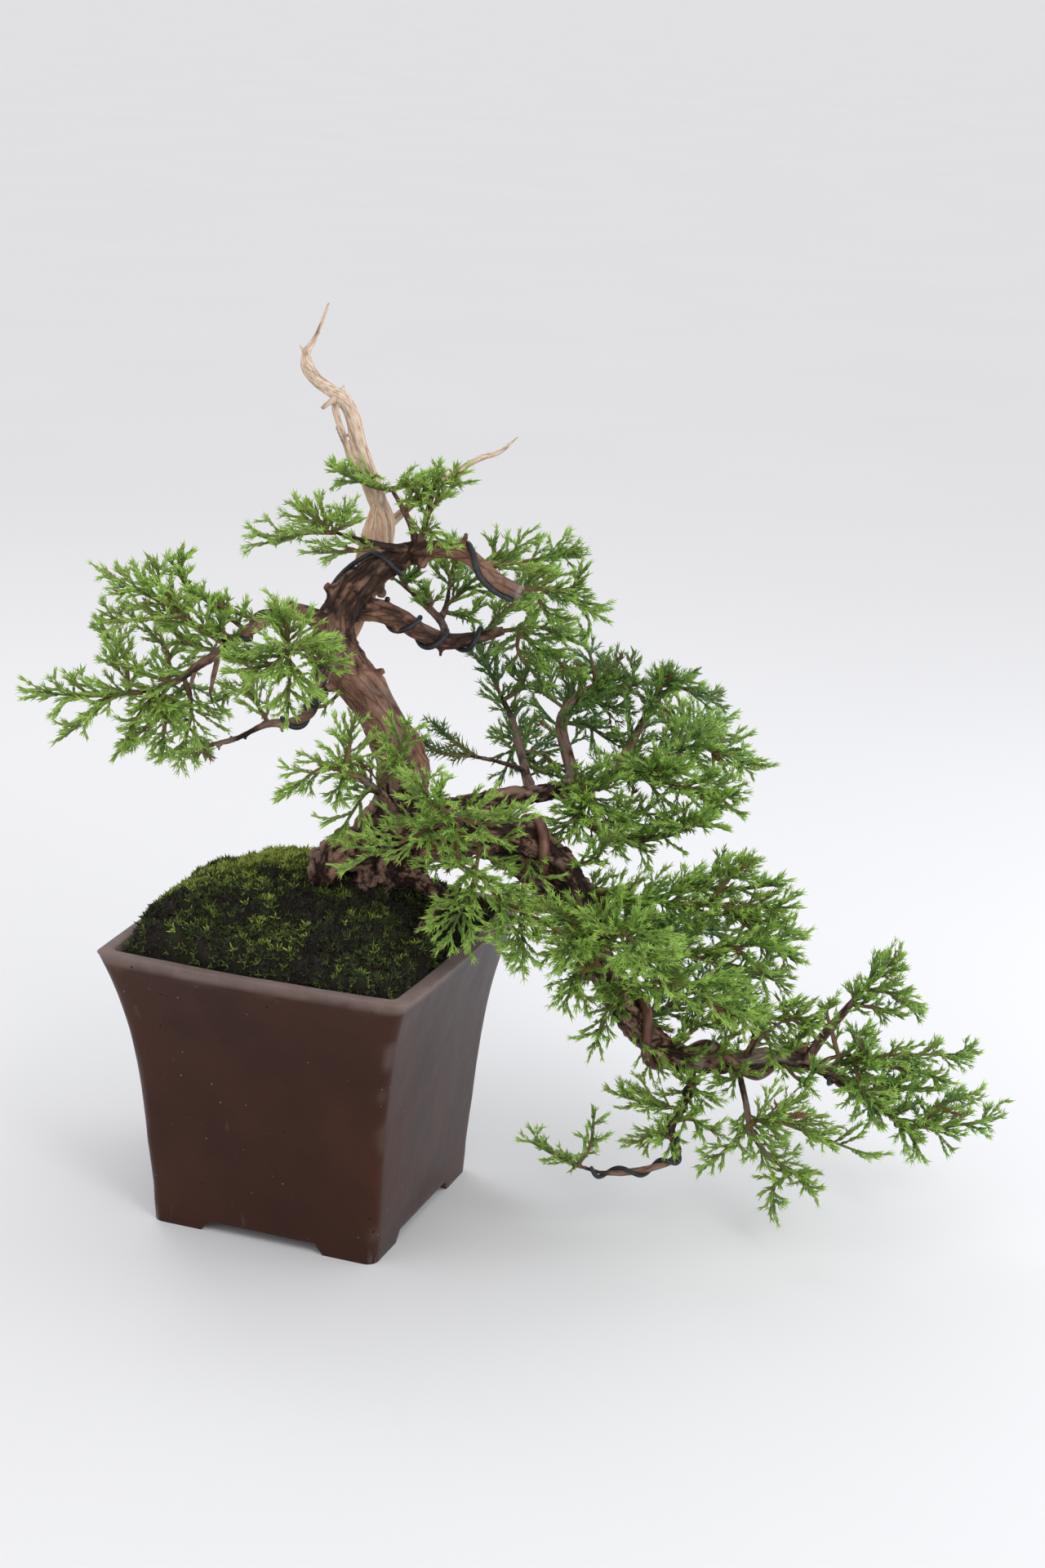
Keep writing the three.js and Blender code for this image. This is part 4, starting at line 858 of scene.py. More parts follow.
class Bench:
    """The node tree of one material."""

    def __init__(self, name: str, **constants: float | Colour) -> None:
        """Starts a material.

        Args:
            name: The material's name.
            **constants: Values set on the shader's own sockets, with _ for each space in a name.
        """
        self.material = bpy.data.materials.new(name)
        self.material.use_nodes = True
        self.tree = self.material.node_tree
        self.shader = self.tree.nodes["Principled BSDF"]
        for socket, value in constants.items():
            self.shader.inputs[socket.replace("_", " ")].default_value = value

    def node(
        self, kind: str, settings: dict | None = None, values: dict | None = None, output: int | str = 0
    ) -> Signal:
        """Adds a node.

        Args:
            kind: The node's type.
            settings: Its settings, set first; "stops" are a ramp's places and colours.
            values: Values or links for its sockets, by name or number.
            output: Which of its outputs is wanted.

        Returns:
            That output.
        """
        made = self.tree.nodes.new(kind)
        for key, value in (settings or {}).items():
            if key == "stops":
                elements = made.color_ramp.elements
                for place, colour in value[2:]:
                    elements.new(place)
                for element, (place, colour) in zip(elements, sorted(value), strict=True):
                    element.position = place
                    element.color = colour
            else:
                setattr(made, key, value)
        for key, value in (values or {}).items():
            if isinstance(value, Signal):
                self.tree.links.new(value.socket, made.inputs[key])
            else:
                made.inputs[key].default_value = value
        return Signal(self, made.outputs[output])

    def value(self, name: str, output: str = "Fac") -> Signal:
        """Reads a value that the mesh holds for each point."""
        return self.node("ShaderNodeAttribute", {"attribute_name": name}, None, output)

    def place(self, name: str | None = None, stretch: Point = (1.0, 1.0, 1.0)) -> Signal:
        """Gives places in millimetres for a pattern.

        Args:
            name: A value of the mesh that holds places in millimetres, or None for the object's own.
            stretch: How much the places are scaled along each axis.

        Returns:
            The places.
        """
        if name:
            source = self.value(name, "Vector")
            scale = stretch
        else:
            source = self.node("ShaderNodeTexCoord", None, None, "Object")
            scale = tuple(s / MM for s in stretch)
        return self.node("ShaderNodeMapping", None, {"Vector": source, "Scale": scale})

    def noise(self, places: Signal, size: float, detail: float = 3, rough: float = 0.5) -> Signal:
        """Gives noise from 0 to 1 with lumps of the given size in millimetres."""
        values = {"Vector": places, "Scale": 1 / size, "Detail": detail, "Roughness": rough}
        return self.node("ShaderNodeTexNoise", None, values)

    def cells(self, places: Signal, size: float, feature: str = "F1") -> Signal:
        """Gives distances in uneven cells of the given size in millimetres."""
        return self.node("ShaderNodeTexVoronoi", {"feature": feature}, {"Vector": places, "Scale": 1 / size})

    def ramp(self, factor: Signal, *stops: tuple[float, Colour]) -> Signal:
        """Gives a colour for each value of a factor."""
        return self.node("ShaderNodeValToRGB", {"stops": list(stops)}, {"Fac": factor})

    def blend(self, factor: Signal | float, low: Signal | Colour, high: Signal | Colour) -> Signal:
        """Mixes two colours."""
        return self.node("ShaderNodeMix", {"data_type": "RGBA"}, {0: factor, 6: low, 7: high}, 2)

    def bump(self, height: Signal, depth: float) -> Signal:
        """Gives normals for a relief whose heights from 0 to 1 stand for depth in millimetres."""
        return self.node("ShaderNodeBump", None, {"Height": height, "Distance": depth * MM})

    def feed(self, **links: Signal) -> bpy.types.Material:
        """Links values to the shader.

        Args:
            **links: The values by socket, with _ for each space in a socket's name.

        Returns:
            The finished material.
        """
        for socket, signal in links.items():
            self.tree.links.new(signal.socket, self.shader.inputs[socket.replace("_", " ")])
        return self.material


@dataclass(frozen=True)
class BarkFinish:
    """Living bark: red-brown flakes, dark cracks, a grey skin in places, pale bare wood and painted shade in
    its hollows and cracks.
    """

    # Dark cracks: partly the cracks' own colour and partly painted shade; also the painted shade of the
    # deepest hollows.
    crack: Colour = tint(44, 29, 23)
    plain: Colour = tint(118, 83, 67)
    flake: Colour = tint(160, 125, 105)
    skin: Colour = tint(122, 106, 98)
    bare: Colour = tint(160, 146, 134)

    def material(self) -> bpy.types.Material:
        """Makes the material of this finish.

        Returns:
            The material, which reads grain, dent, pale and grey from the mesh.
        """
        bench = Bench("bark", Specular_IOR_Level=0.25)
        grain = bench.place("grain")
        fibre = bench.noise(grain, 1.9, 6, 0.68)
        patch = bench.noise(bench.place(), 9, 4, 0.6)
        flakes = bench.noise(bench.place(), 4, 3, 0.6)
        # Crack lines between the flakes, darkened below: partly their own colour and partly painted shade.
        crack = 1 - bench.cells(grain, 4.6, "DISTANCE_TO_EDGE").rise(0.0, 0.12)
        # How deep each point lies in the relief: painted shade darkens the hollows and leaves raised bark
        # lighter.
        dent = bench.value("dent")
        rough = bench.value("rough")
        level = fibre * (0.55 + rough * 0.25) + patch * 0.55 + (1 - dent) * (0.3 + rough * 0.3)
        level = level - crack * (0.2 + rough * 0.15) - rough * 0.2 + (flakes - 0.5) * 0.4
        stops = ((0.31, self.crack), (0.64, self.plain), (0.98, self.flake))
        colour = bench.ramp(level, *stops)
        grey = bench.value("grey") + rough * 0.35
        colour = bench.blend(grey * patch.rise(0.35, 0.6) * level.rise(0.3, 0.5), colour, self.skin)
        colour = bench.blend(bench.value("pale") * fibre.rise(0.3, 0.55), colour, self.bare)
        # Painted shade: the deepest hollows are blended towards the crack colour.
        colour = bench.blend(dent.rise(0.6, 1) * 0.8, colour, self.crack)
        height = fibre + bench.noise(bench.place(), 1.3, 4, 0.6) * 0.6 - crack * 0.5
        return bench.feed(Base_Color=colour, Roughness=0.6 + fibre * 0.3, Normal=bench.bump(height, 1.1))


@dataclass(frozen=True)
class DeadwoodFinish:
    """Bleached deadwood: pale tan with grey-brown grain lines, more orange low down, with painted shade in
    its grooves.
    """

    pale: Colour = tint(232, 212, 194)
    tan: Colour = tint(202, 176, 154)
    # Grey-brown grain lines; also the painted shade in the grooves.
    line: Colour = tint(122, 98, 84)
    warm: Colour = tint(204, 158, 124)

    def material(self) -> bpy.types.Material:
        """Makes the material of this finish.

        Returns:
            The material, which reads grain, dent and warm from the mesh.
        """
        bench = Bench("deadwood", Specular_IOR_Level=0.2)
        grain = bench.place("grain")
        fibre = bench.noise(grain, 0.9, 6, 0.65)
        streak = bench.noise(grain, 3.2, 3, 0.5)
        colour = bench.ramp(fibre, (0.3, self.line), (0.46, self.tan), (0.62, self.pale))
        colour = bench.blend(bench.value("warm") * streak.rise(0.3, 0.6), colour, self.warm)
        # Painted shade: the grooves are blended towards the grain-line colour.
        colour = bench.blend(bench.value("dent").rise(0.35, 1) * 0.8, colour, self.line)
        height = fibre * 0.6 + streak * 0.4
        return bench.feed(Base_Color=colour, Roughness=0.6 + streak * 0.3, Normal=bench.bump(height, 0.35))


@dataclass(frozen=True)
class WireFinish:
    """Annealed training wire: an even anodised skin with dull and rubbed stretches."""

    kind: WireSkin
    skin: Colour
    rubbed: Colour
    dusty: Colour
    metal: float

    def material(self) -> bpy.types.Material:
        """Makes the material of this finish.

        Returns:
            The material.
        """
        bench = Bench(self.kind.value, Coat_Roughness=0.3)
        place = bench.place()
        wide = bench.noise(place, 9, 3, 0.5)
        fine = bench.noise(place, 1.4, 4, 0.6)
        colour = bench.blend(wide.rise(0.45, 0.7), self.skin, self.rubbed)
        colour = bench.blend(fine.rise(0.56, 0.74) * 0.6, colour, self.dusty)
        rough = 0.38 + wide * 0.25
        metal = self.metal - fine.rise(0.5, 0.8) * 0.5 * self.metal
        return bench.feed(Base_Color=colour, Roughness=rough, Metallic=metal, Normal=bench.bump(fine, 0.12))


@dataclass(frozen=True)
class FoliageFinish:
    """Scale leaves: brown where a shoot is old, deep green along it and yellow-green at its tips; rear sprays
    take painted shade, front and top ones painted light.
    """

    twig: Colour = tint(108, 74, 54)
    old: Colour = tint(66, 82, 36)
    deep: Colour = tint(92, 122, 50)
    leaf: Colour = tint(124, 162, 66)
    tip: Colour = tint(170, 208, 96)
    # Painted shade: the dark bluish green of the rear sprays.
    far: Colour = tint(66, 106, 70)
    # Painted light: the fresh yellow-green of the left, front and top sprays.
    fresh: Colour = tint(186, 216, 112)
    rust: Colour = tint(122, 82, 56)
    dry: Colour = tint(128, 122, 62)

    def material(self) -> bpy.types.Material:
        """Makes the material of this finish.

        Returns:
            The material, which reads age and tone from the mesh.
        """
        bench = Bench("foliage", Specular_IOR_Level=0.35, Subsurface_Radius=(0.0008, 0.0012, 0.0004))
        age = bench.value("age")
        tone = bench.value("tone")
        stops = ((0.0, self.twig), (0.14, self.twig), (0.24, self.old), (0.45, self.deep))
        colour = bench.ramp(age, *stops, (0.74, self.leaf), (1.0, self.tip))
        # Painted shade on sprays of low tone, painted light on sprays of high tone.
        colour = bench.blend((0.5 - tone).rise(0, 0.5) * age.rise(0.15, 0.3) * 0.7, colour, self.far)
        colour = bench.blend((tone - 0.5).rise(0, 0.5) * age.rise(0.3, 0.6) * 0.5, colour, self.fresh)
        patch = bench.noise(bench.place(), 16, 3, 0.6)
        colour = bench.blend(patch.rise(0.46, 0.62) * (1 - age.rise(0.75, 1)) * 0.4, colour, self.dry)
        colour = bench.blend((tone - 2).rise(0, 0.5), colour, self.rust)
        grit = bench.noise(bench.place(), 1.3, 2, 0.5)
        shaded = bench.blend(grit.rise(0.3, 0.7) * 0.22, colour, self.old)
        return bench.feed(Base_Color=shaded, Roughness=0.42 + grit * 0.25, Normal=bench.bump(grit, 0.1))


@dataclass(frozen=True)
class MossFinish:
    """Moss: hollows painted nearly black as shade, deep green cushions and yellow-green tips."""

    # Nearly black: dead brown moss, and also the painted shade of the hollows, of the carpet between the
    # tufts and of the tufts' feet.
    dead: Colour = tint(34, 25, 17)
    deep: Colour = tint(34, 42, 15)
    green: Colour = tint(62, 78, 25)
    fresh: Colour = tint(112, 128, 44)
    bright: Colour = tint(164, 176, 84)

    def material(self) -> bpy.types.Material:
        """Makes the material of this finish.

        Returns:
            The material, which reads shade from the mesh.
        """
        bench = Bench("moss", Specular_IOR_Level=0.2, Sheen_Weight=0.15)
        grit = bench.noise(bench.place(), 1.6, 4, 0.6)
        level = bench.value("shade") + (grit - 0.5) * 0.5
        stops = ((0.08, self.dead), (0.3, self.deep), (0.52, self.green), (0.78, self.fresh))
        colour = bench.ramp(level, *stops, (1.0, self.bright))
        return bench.feed(Base_Color=colour, Roughness=0.7 + grit * 0.25, Normal=bench.bump(grit, 0.6))


@dataclass(frozen=True)
class ClayFinish:
    """Unglazed chocolate clay: dull sheen, mauve-grey worn rim, pits painted near-black as shade, pale specks
    and scuffs.
    """

    clay: Colour = tint(63, 36, 25)
    dark: Colour = tint(53, 30, 21)
    rim: Colour = tint(138, 121, 115)
    chalk: Colour = tint(168, 158, 152)
    # Painted shade: the near-black inside the pits.
    pit_shade: Colour = tint(24, 18, 16)

    def material(self) -> bpy.types.Material:
        """Makes the material of this finish.

        Returns:
            The material, which reads worn and foot from the mesh.
        """
        haze = (0.8, 0.88, 1.0, 1.0)
        sheen = {"Sheen_Weight": 0.16, "Sheen_Roughness": 0.4, "Sheen_Tint": haze}
        bench = Bench("pot_clay", Specular_IOR_Level=0.12, **sheen)
        place = bench.place()
        cloud = bench.noise(place, 45, 4, 0.55)
        grit = bench.noise(place, 0.8, 3, 0.6)
        smear = bench.noise(bench.place(None, (1, 1, 0.25)), 9, 4, 0.6)
        pits = 1 - bench.cells(place, 13).rise(0.045, 0.075)
        specks = 1 - bench.cells(bench.place(None, (1.3, 1.1, 0.9)), 9).rise(0.03, 0.05)
        worn = bench.value("worn")
        colour = bench.blend(cloud.rise(0.35, 0.65), self.dark, self.clay)
        colour = bench.blend(worn * (0.36 + smear * 0.62), colour, self.rim)
        colour = bench.blend(bench.value("foot") * smear.rise(0.45, 0.7) * 0.7, colour, self.chalk)
        colour = bench.blend(smear.rise(0.66, 0.8) * 0.12, colour, self.chalk)
        colour = bench.blend(specks * 0.7, colour, self.chalk)
        # Painted shade: the pits are blended to near-black.
        colour = bench.blend(pits * 0.9, colour, self.pit_shade)
        rough = 0.36 + smear * 0.16 + worn * 0.25
        height = grit * 0.3 + smear * 0.2 - pits
        return bench.feed(Base_Color=colour, Roughness=rough, Normal=bench.bump(height, 0.3))


@dataclass(frozen=True)
class SoilFinish:
    """Soil mix: granules of baked clay and pumice, with painted shade in the gaps between granules."""

    # Damp soil, and also the painted shade in the gaps between granules.
    damp_and_gap_shade: Colour = tint(58, 40, 28)
    clay: Colour = tint(122, 84, 54)
    pumice: Colour = tint(176, 160, 136)

    def material(self) -> bpy.types.Material:
        """Makes the material of this finish.

        Returns:
            The material.
        """
        bench = Bench("soil", Specular_IOR_Level=0.2)
        place = bench.place()
        grain = bench.cells(place, 3.6)
        kind = bench.noise(place, 4, 1, 0.2)
        colour = bench.ramp(kind, (0.35, self.damp_and_gap_shade), (0.52, self.clay), (0.66, self.pumice))
        # Painted shade: the gaps between granules are blended towards the damp colour.
        colour = bench.blend(grain.rise(0.4, 0.75), colour, self.damp_and_gap_shade)
        height = 1 - grain
        return bench.feed(Base_Color=colour, Roughness=0.75 + kind * 0.2, Normal=bench.bump(height, 1.2))


@dataclass(frozen=True)
class MeshFinish:
    """Black plastic mesh, dulled by silt."""

    black: Colour = tint(38, 40, 40)
    silt: Colour = tint(96, 84, 70)

    def material(self) -> bpy.types.Material:
        """Makes the material of this finish.

        Returns:
            The material.
        """
        bench = Bench("drain_mesh", Specular_IOR_Level=0.4)
        silt = bench.noise(bench.place(), 5, 4, 0.6)
        colour = bench.blend(silt.rise(0.45, 0.7) * 0.7, self.black, self.silt)
        return bench.feed(Base_Color=colour, Roughness=0.5 + silt * 0.3, Normal=bench.bump(silt, 0.2))


@dataclass(frozen=True)
class FloorFinish:
    """A plain pale floor with a barely visible mottle."""

    light: Colour = tint(230, 230, 232)
    dull: Colour = tint(226, 226, 228)

    def material(self) -> bpy.types.Material:
        """Makes the material of this finish.

        Returns:
            The material.
        """
        bench = Bench("floor", Roughness=0.9, Specular_IOR_Level=0.1)
        mottle = bench.noise(bench.place(), 400, 3)
        return bench.feed(Base_Color=bench.blend(mottle, self.dull, self.light))


@dataclass(frozen=True)
class Spur:
    """A short dead stub on a limb: where it stands, the way it points, how far it reaches, its radius."""

    limb: str
    at: float
    towards: Point
    reach: float
    radius: float


SPURS = tuple(Spur(*row) for row in (
    ("trunk", 0.5, (1, -0.1, 0.3), 4.6, 1.8), ("trunk", 0.47, (-1, -0.35, 0.15), 11, 2.2),
    ("trunk", 0.43, (-0.1, -1, 0.1), 1.8, 3.6), ("trunk", 0.40, (0.25, -1, 0), 1.4, 2.8),
    ("trunk", 0.345, (0.5, -1, 0.2), 1.2, 2.4), ("trunk", 0.62, (1, -0.5, 0.5), 1.2, 2.6),
    ("trunk", 0.86, (0.25, -0.6, -1), 6, 2.8), ("trunk", 0.74, (-0.7, -0.3, 0.9), 4, 3),
    ("trunk", 0.2, (-1, -0.8, 0.2), 3, 5), ("rootLeft", 0.35, (-0.35, -0.3, 1), 3.5, 4),
    ("rootLeft", 0.5, (-0.5, -0.9, 0.5), 3, 4.2), ("rootLeft", 0.66, (-0.9, -0.6, 0.4), 3, 3.4),
    ("rootLeft", 0.8, (-0.6, -1, 0), 2.6, 4), ("cascade", 0.045, (0.1, -0.9, -0.8), 3, 4.5),
    ("cascade", 0.09, (0.3, -0.7, -1), 4, 2.6), ("cascade", 0.17, (0, -0.7, 0.9), 2.4, 3),
    ("stub", 0.75, (0.1, -0.8, 0.8), 2.4, 3.4), ("stub", 0.97, (0.8, -0.2, -0.4), 3, 3),
    ("trunk", 0.13, (-0.9, -0.8, 0.05), 6, 9), ("trunk", 0.1, (0.05, -1, -0.2), 8, 10),
    ("trunk", 0.11, (0.8, -0.9, -0.15), 7, 8), ("cascade", 0.12, (0.1, -0.5, 1), 4, 2.4),
    ("cascade", 0.42, (-1, -0.4, -0.2), 3.5, 2.2), ("cascade", 0.5, (-0.8, -0.5, -0.5), 3, 2.2),
    ("cascade", 0.65, (0.2, -0.4, 1), 6, 1.9), ("cascade", 0.71, (0.3, -0.7, -0.7), 5, 1.6),
    ("rearRight", 0.3, (0.1, -0.4, 1), 3, 2), ("rearRight", 0.52, (0.2, -0.6, 0.9), 3.6, 1.8),
    ("rearRight", 0.15, (0.1, -0.7, -0.7), 2.4, 2.4), ("midRight", 0.62, (0.1, -0.3, -1), 4, 1.6),
    ("midRight", 0.93, (0.3, -0.2, 1), 7, 1.2), ("midRight", 0.3, (0.1, -0.5, -1), 2.6, 2),
    ("upperRight", 0.35, (0.2, -0.2, 1), 7, 1.5), ("upperRight", 0.62, (0.5, -0.2, 1), 4, 1.3),
    ("leftBranch", 0.3, (-0.3, -0.3, 1), 5, 1.4), ("outUp", 0.45, (-0.8, -0.2, 0.8), 7, 0.8),
    ("leftLoop", 0.8, (-0.3, -0.3, -0.8), 3, 0.8), ("leftLoop", 0.72, (-0.4, -0.3, 0.9), 3.4, 0.7),
    ("leftLoop", 0.88, (-0.5, -0.3, 0.8), 3.6, 0.7), ("leftLoop", 0.95, (-0.3, -0.4, -0.9), 3, 0.7),
    ("leftLoop", 0.63, (0.1, -0.4, -0.9), 2.4, 0.9), ("upperRight", 0.08, (0, -0.7, -1), 3.4, 3),
    ("upperRight", 0.16, (0.2, -0.9, 0.4), 1.8, 2.4),
))


@dataclass
class Limbs:
    """Limbs as a skin's points see them: how far along the nearest one, and how far round it.

    The twist is how far the grain turns round a limb, in radians to a millimetre. The stretch is how
    much shorter a pattern is made along the grain than round it. The offset keeps the patterns of two
    limbs apart, and the block is how many points are looked up at once.
    """

    limbs: dict[str, Limb]
    twist: float
    stretch: float
    step: float = 1.5
    thinnest: float = 1.2
    offset: float = 97.0
    block: int = 4000

    def __post_init__(self) -> None:
        """Samples the limbs."""
        rows = []
        for index, limb in enumerate(self.limbs.values()):
            course = limb.course()
            length = course.length()
            shares = np.linspace(0, 1, max(int(length / self.step), 8))
            along = course.heading(shares)
            sizes = [limb.radius(shares), shares * length, np.full(len(shares), index)]
            rows.append(np.column_stack([course.at(shares), along, frames(along)[0], *sizes]))
        table = np.vstack(rows)
        self.middles, self.alongs, self.acrosses = table[:, :3], table[:, 3:6], table[:, 6:9]
        self.radii, self.runs, self.owners = table[:, 9], table[:, 10], table[:, 11].astype(int)

    def read(self, points: Array) -> tuple[Array, Array, Array, Array]:
        """Places points on their nearest limbs.

        Args:
            points: The points.

        Returns:
            Grain coordinates, the limb's number, the run along it and its radius there.
        """
        best = np.zeros(len(points), int)
        for start in range(0, len(points), self.block):
            part = slice(start, start + self.block)
            apart = np.linalg.norm(points[part, None] - self.middles, axis=-1)
            best[part] = np.argmin(apart - self.radii, axis=1)
        out = points - self.middles[best]
        along, across = self.alongs[best], self.acrosses[best]
        run = self.runs[best] + (out * along).sum(1)
        angle = np.arctan2((out * np.cross(along, across)).sum(1), (out * across).sum(1))
        angle = angle + self.twist * run
        radius = np.maximum(self.radii[best], self.thinnest)
        grain = np.stack([radius * np.cos(angle), radius * np.sin(angle), run * self.stretch], axis=1)
        grain[:, 2] += self.offset * self.owners[best]
        return grain, self.owners[best], run, radius


@dataclass
class Wood:
    """Living wood: the trunk and its strong branches with plated bark, and the twigs with finer bark."""

    strong: tuple[str, ...] = (
        "trunk", "rootLeft", "rootFront", "rootBack", "cascade", "stub", "rearRight", "leftBranch",
        "upperRight", "midRight",
    )
    rough: tuple[str, ...] = ("rootLeft", "rootFront", "rootBack", "cascade", "stub", "rearRight")
    voxel: float = 1.32
    step: float = 1.5
    sides: int = 32
    twig_voxel: float = 1.0
    twig_step: float = 1.2
    twig_sides: int = 14
    spur_sides: int = 10
    twist: float = 0.012
    stretch: float = 0.3
    lump: float = 15
    strip: float = 8
    split: float = 3.6
    plate: float = 4.4
    grit: float = 2.2
    least_rough: float = 0.12
    saw_cut: float = 2.5
    spur_form: tuple[float, ...] = (1.35, 1.1, 0.95, 0.95, 1.0, 0.75)
    finish: BarkFinish = BarkFinish()

    def _sleeves(self, names: list[str], step: float, sides: int) -> Skin:
        """Gathers limbs and their spurs as plain closed tubes.

        Args:
            names: The limbs.
            step: The distance between two rings of a tube.
            sides: How many sides a tube has.

        Returns:
            The tubes.
        """
        skin = Skin()
        for name in names:
            course = LIMBS[name].course()
            shares = np.linspace(0, 1, max(int(course.length() / step), 6))
            skin.add(*sleeve(course.at(shares), LIMBS[name].radius(shares), sides))
        for spur in SPURS:
            if spur.limb in names:
                limb = LIMBS[spur.limb]
                way = unit(np.array(spur.towards, float)) * np.linspace(0.2, 1, len(self.spur_form))[:, None]
                route = limb.course().at(spur.at)[0] + way * (limb.radius(spur.at) + spur.reach)
                skin.add(*sleeve(route, spur.radius * np.array(self.spur_form), self.spur_sides))
        return skin

    def _relief(self, points: Array, grain: Array, radius: Array, rough: Array, pale: Array) -> Array:
        """Finds how far the bark stands out.

        Args:
            points: Points of the skin.
            grain: Their grain coordinates.
            radius: The limb's radius at each.
            rough: How rough the bark is at each.
            pale: How bare of bark each is.

        Returns:
            The height at each point, in millimetres.
        """
        thick = np.clip(radius / 11, np.where(rough > 0.6, 0.66, 0.24), 1.0)
        lumps = rumble(points, self.lump, 3, 3) * (1.1 - 0.3 * rough)
        strips = 1 - np.abs(rumble(grain * np.array((1, 1, 0.6)), self.strip, 2, 9))
        splits = np.abs(rumble(grain * np.array((1, 1, 0.8)) + 0.8 * points, self.split, 2, 15))
        plates, owner = cushions(grain + 1.2 * rumble(points, 5, 1, 2)[:, None], self.plate, 21)
        cracks = np.clip(plates - 0.4, 0, 1) * 1.8
        flakes = (owner - 0.4) * 2.6 - cracks * 2.4 - rough * 1.5 * (1 - smooth(0.0, 0.35, splits))
        fine = rumble(grain, self.grit, 2, 31) * 0.45
        bark = (flakes * (0.16 + rough * 1.0) + fine) * (1 - 0.8 * pale)
        return thick * (lumps + (strips - 0.6) * (0.3 + 1.1 * rough) + bark)

    def _skin(self, name: str, names: list[str], voxel: float, step: float, sides: int) -> bpy.types.Object:
        """Fuses limbs into one skin and carves their bark.

        Args:
            name: The piece's name.
            names: The limbs.
            voxel: The width of the skin's faces.
            step: The distance between two rings of a limb's tube.
            sides: How many sides a limb's tube has.

        Returns:
            The piece, which is in no collection yet.
        """
        piece = self._sleeves(names, step, sides).object(name)
        mesh = even_skin(piece, voxel)
        points, normals = read_surface(mesh)
        limbs = Limbs({key: LIMBS[key] for key in names}, self.twist, self.stretch)
        grain, owner, run, radius = limbs.read(points)
        on = {key: owner == index for index, key in enumerate(names)}
        is_rough = np.isin(owner, [names.index(key) for key in names if key in self.rough])
        rough = np.where(is_rough, 1.0, self.least_rough)
        pale = np.zeros(len(points))
        if "trunk" in names:
            low_or_high = np.maximum(1 - smooth(55, 85, run), smooth(150, 185, run) * 0.45)
            rough = np.where(on["trunk"], np.maximum(self.least_rough, low_or_high), rough)
            bare = smooth(212, 224, run) * (1 - smooth(268, 280, run))
            sunny = rumble(points, 16, 2, 44) + 0.35 + 0.6 * (normals[:, 2] - normals[:, 1])
            pale = np.where(on["cascade"], bare * smooth(-0.2, 0.6, sunny), pale)
            sawn_at = LIMBS["upperRight"].course().length() - self.saw_cut
            pale[on["upperRight"] & (run > sawn_at)] = 1.0
        height = self._relief(points, grain, radius, rough, pale)
        write_points(mesh, points + normals * height[:, None])
        spread = np.clip(radius / 12, 0.16, 1.0)
        write_value(mesh, "grain", grain)
        # Painted shade: how deep each point lies in the relief, so the bark paints its hollows darker.
        write_value(mesh, "dent", np.clip(0.42 - height / (2.2 * spread), 0, 1))
        write_value(mesh, "pale", pale)
        write_value(mesh, "rough", np.clip(rough, 0, 1))
        grey = smooth(-0.2, 0.6, rumble(points, 34, 2, 61)) * 0.6
        write_value(mesh, "grey", grey if "trunk" in names else 0.45 + grey * 0.8)
        return piece

    def build(self, placing: Placing) -> None:
        """Makes both pieces of wood and puts them in place.

        Args:
            placing: Puts a piece in its place.
        """
        bark = self.finish.material()
        thin = [name for name in LIMBS if name not in self.strong]
        trunk = self._skin("trunk", list(self.strong), self.voxel, self.step, self.sides)
        twigs = self._skin("twigs", thin, self.twig_voxel, self.twig_step, self.twig_sides)
        placing.settle(trunk, bark, "bark", "trunk_and_branches")
        placing.settle(twigs, bark, "bark", "trunk_and_branches")


@dataclass
class Jin:
    """Bleached deadwood behind the crown, with deep twisted grooves."""

    voxel: float = 0.85
    step: float = 1.0
    sides: int = 24
    twist: float = 0.03
    stretch: float = 0.14
    groove: float = 0.95
    fold: float = 4.4
    grit: float = 1.3
    lump: float = 11
    warm_low: float = 350
    warm_high: float = 410
    finish: DeadwoodFinish = DeadwoodFinish()

    def build(self, placing: Placing) -> None:
        """Makes the piece and puts it in place.

        Args:
            placing: Puts a piece in its place.
        """
        skin = Skin()
        for limb in JIN.values():
            course = limb.course()
            shares = np.linspace(0, 1, int(course.length() / self.step))
            skin.add(*sleeve(course.at(shares), limb.radius(shares), self.sides))
        piece = skin.object("jin")
        mesh = even_skin(piece, self.voxel)
        points, normals = read_surface(mesh)
        grain, _, _, radius = Limbs(JIN, self.twist, self.stretch).read(points)
        folds = (1 - np.abs(rumble(grain, self.fold, 2, 5))) ** 3
        fine = rumble(grain, self.grit, 2, 8)
        height = 0.35 - self.groove * folds + 0.22 * fine + 0.5 * rumble(points, self.lump, 2, 7)
        write_points(mesh, points + normals * (np.clip(radius / 6, 0.12, 1.1) * height)[:, None])
        write_value(mesh, "grain", grain)
        # Painted shade: the grooves, so the deadwood paints them darker.
        write_value(mesh, "dent", np.clip(folds * 0.9 - 0.2 * fine, 0, 1))
        write_value(mesh, "warm", (1 - smooth(self.warm_low, self.warm_high, points[:, 2])) * 0.8)
        placing.settle(piece, self.finish.material(), "deadwood", "deadwood_jin")


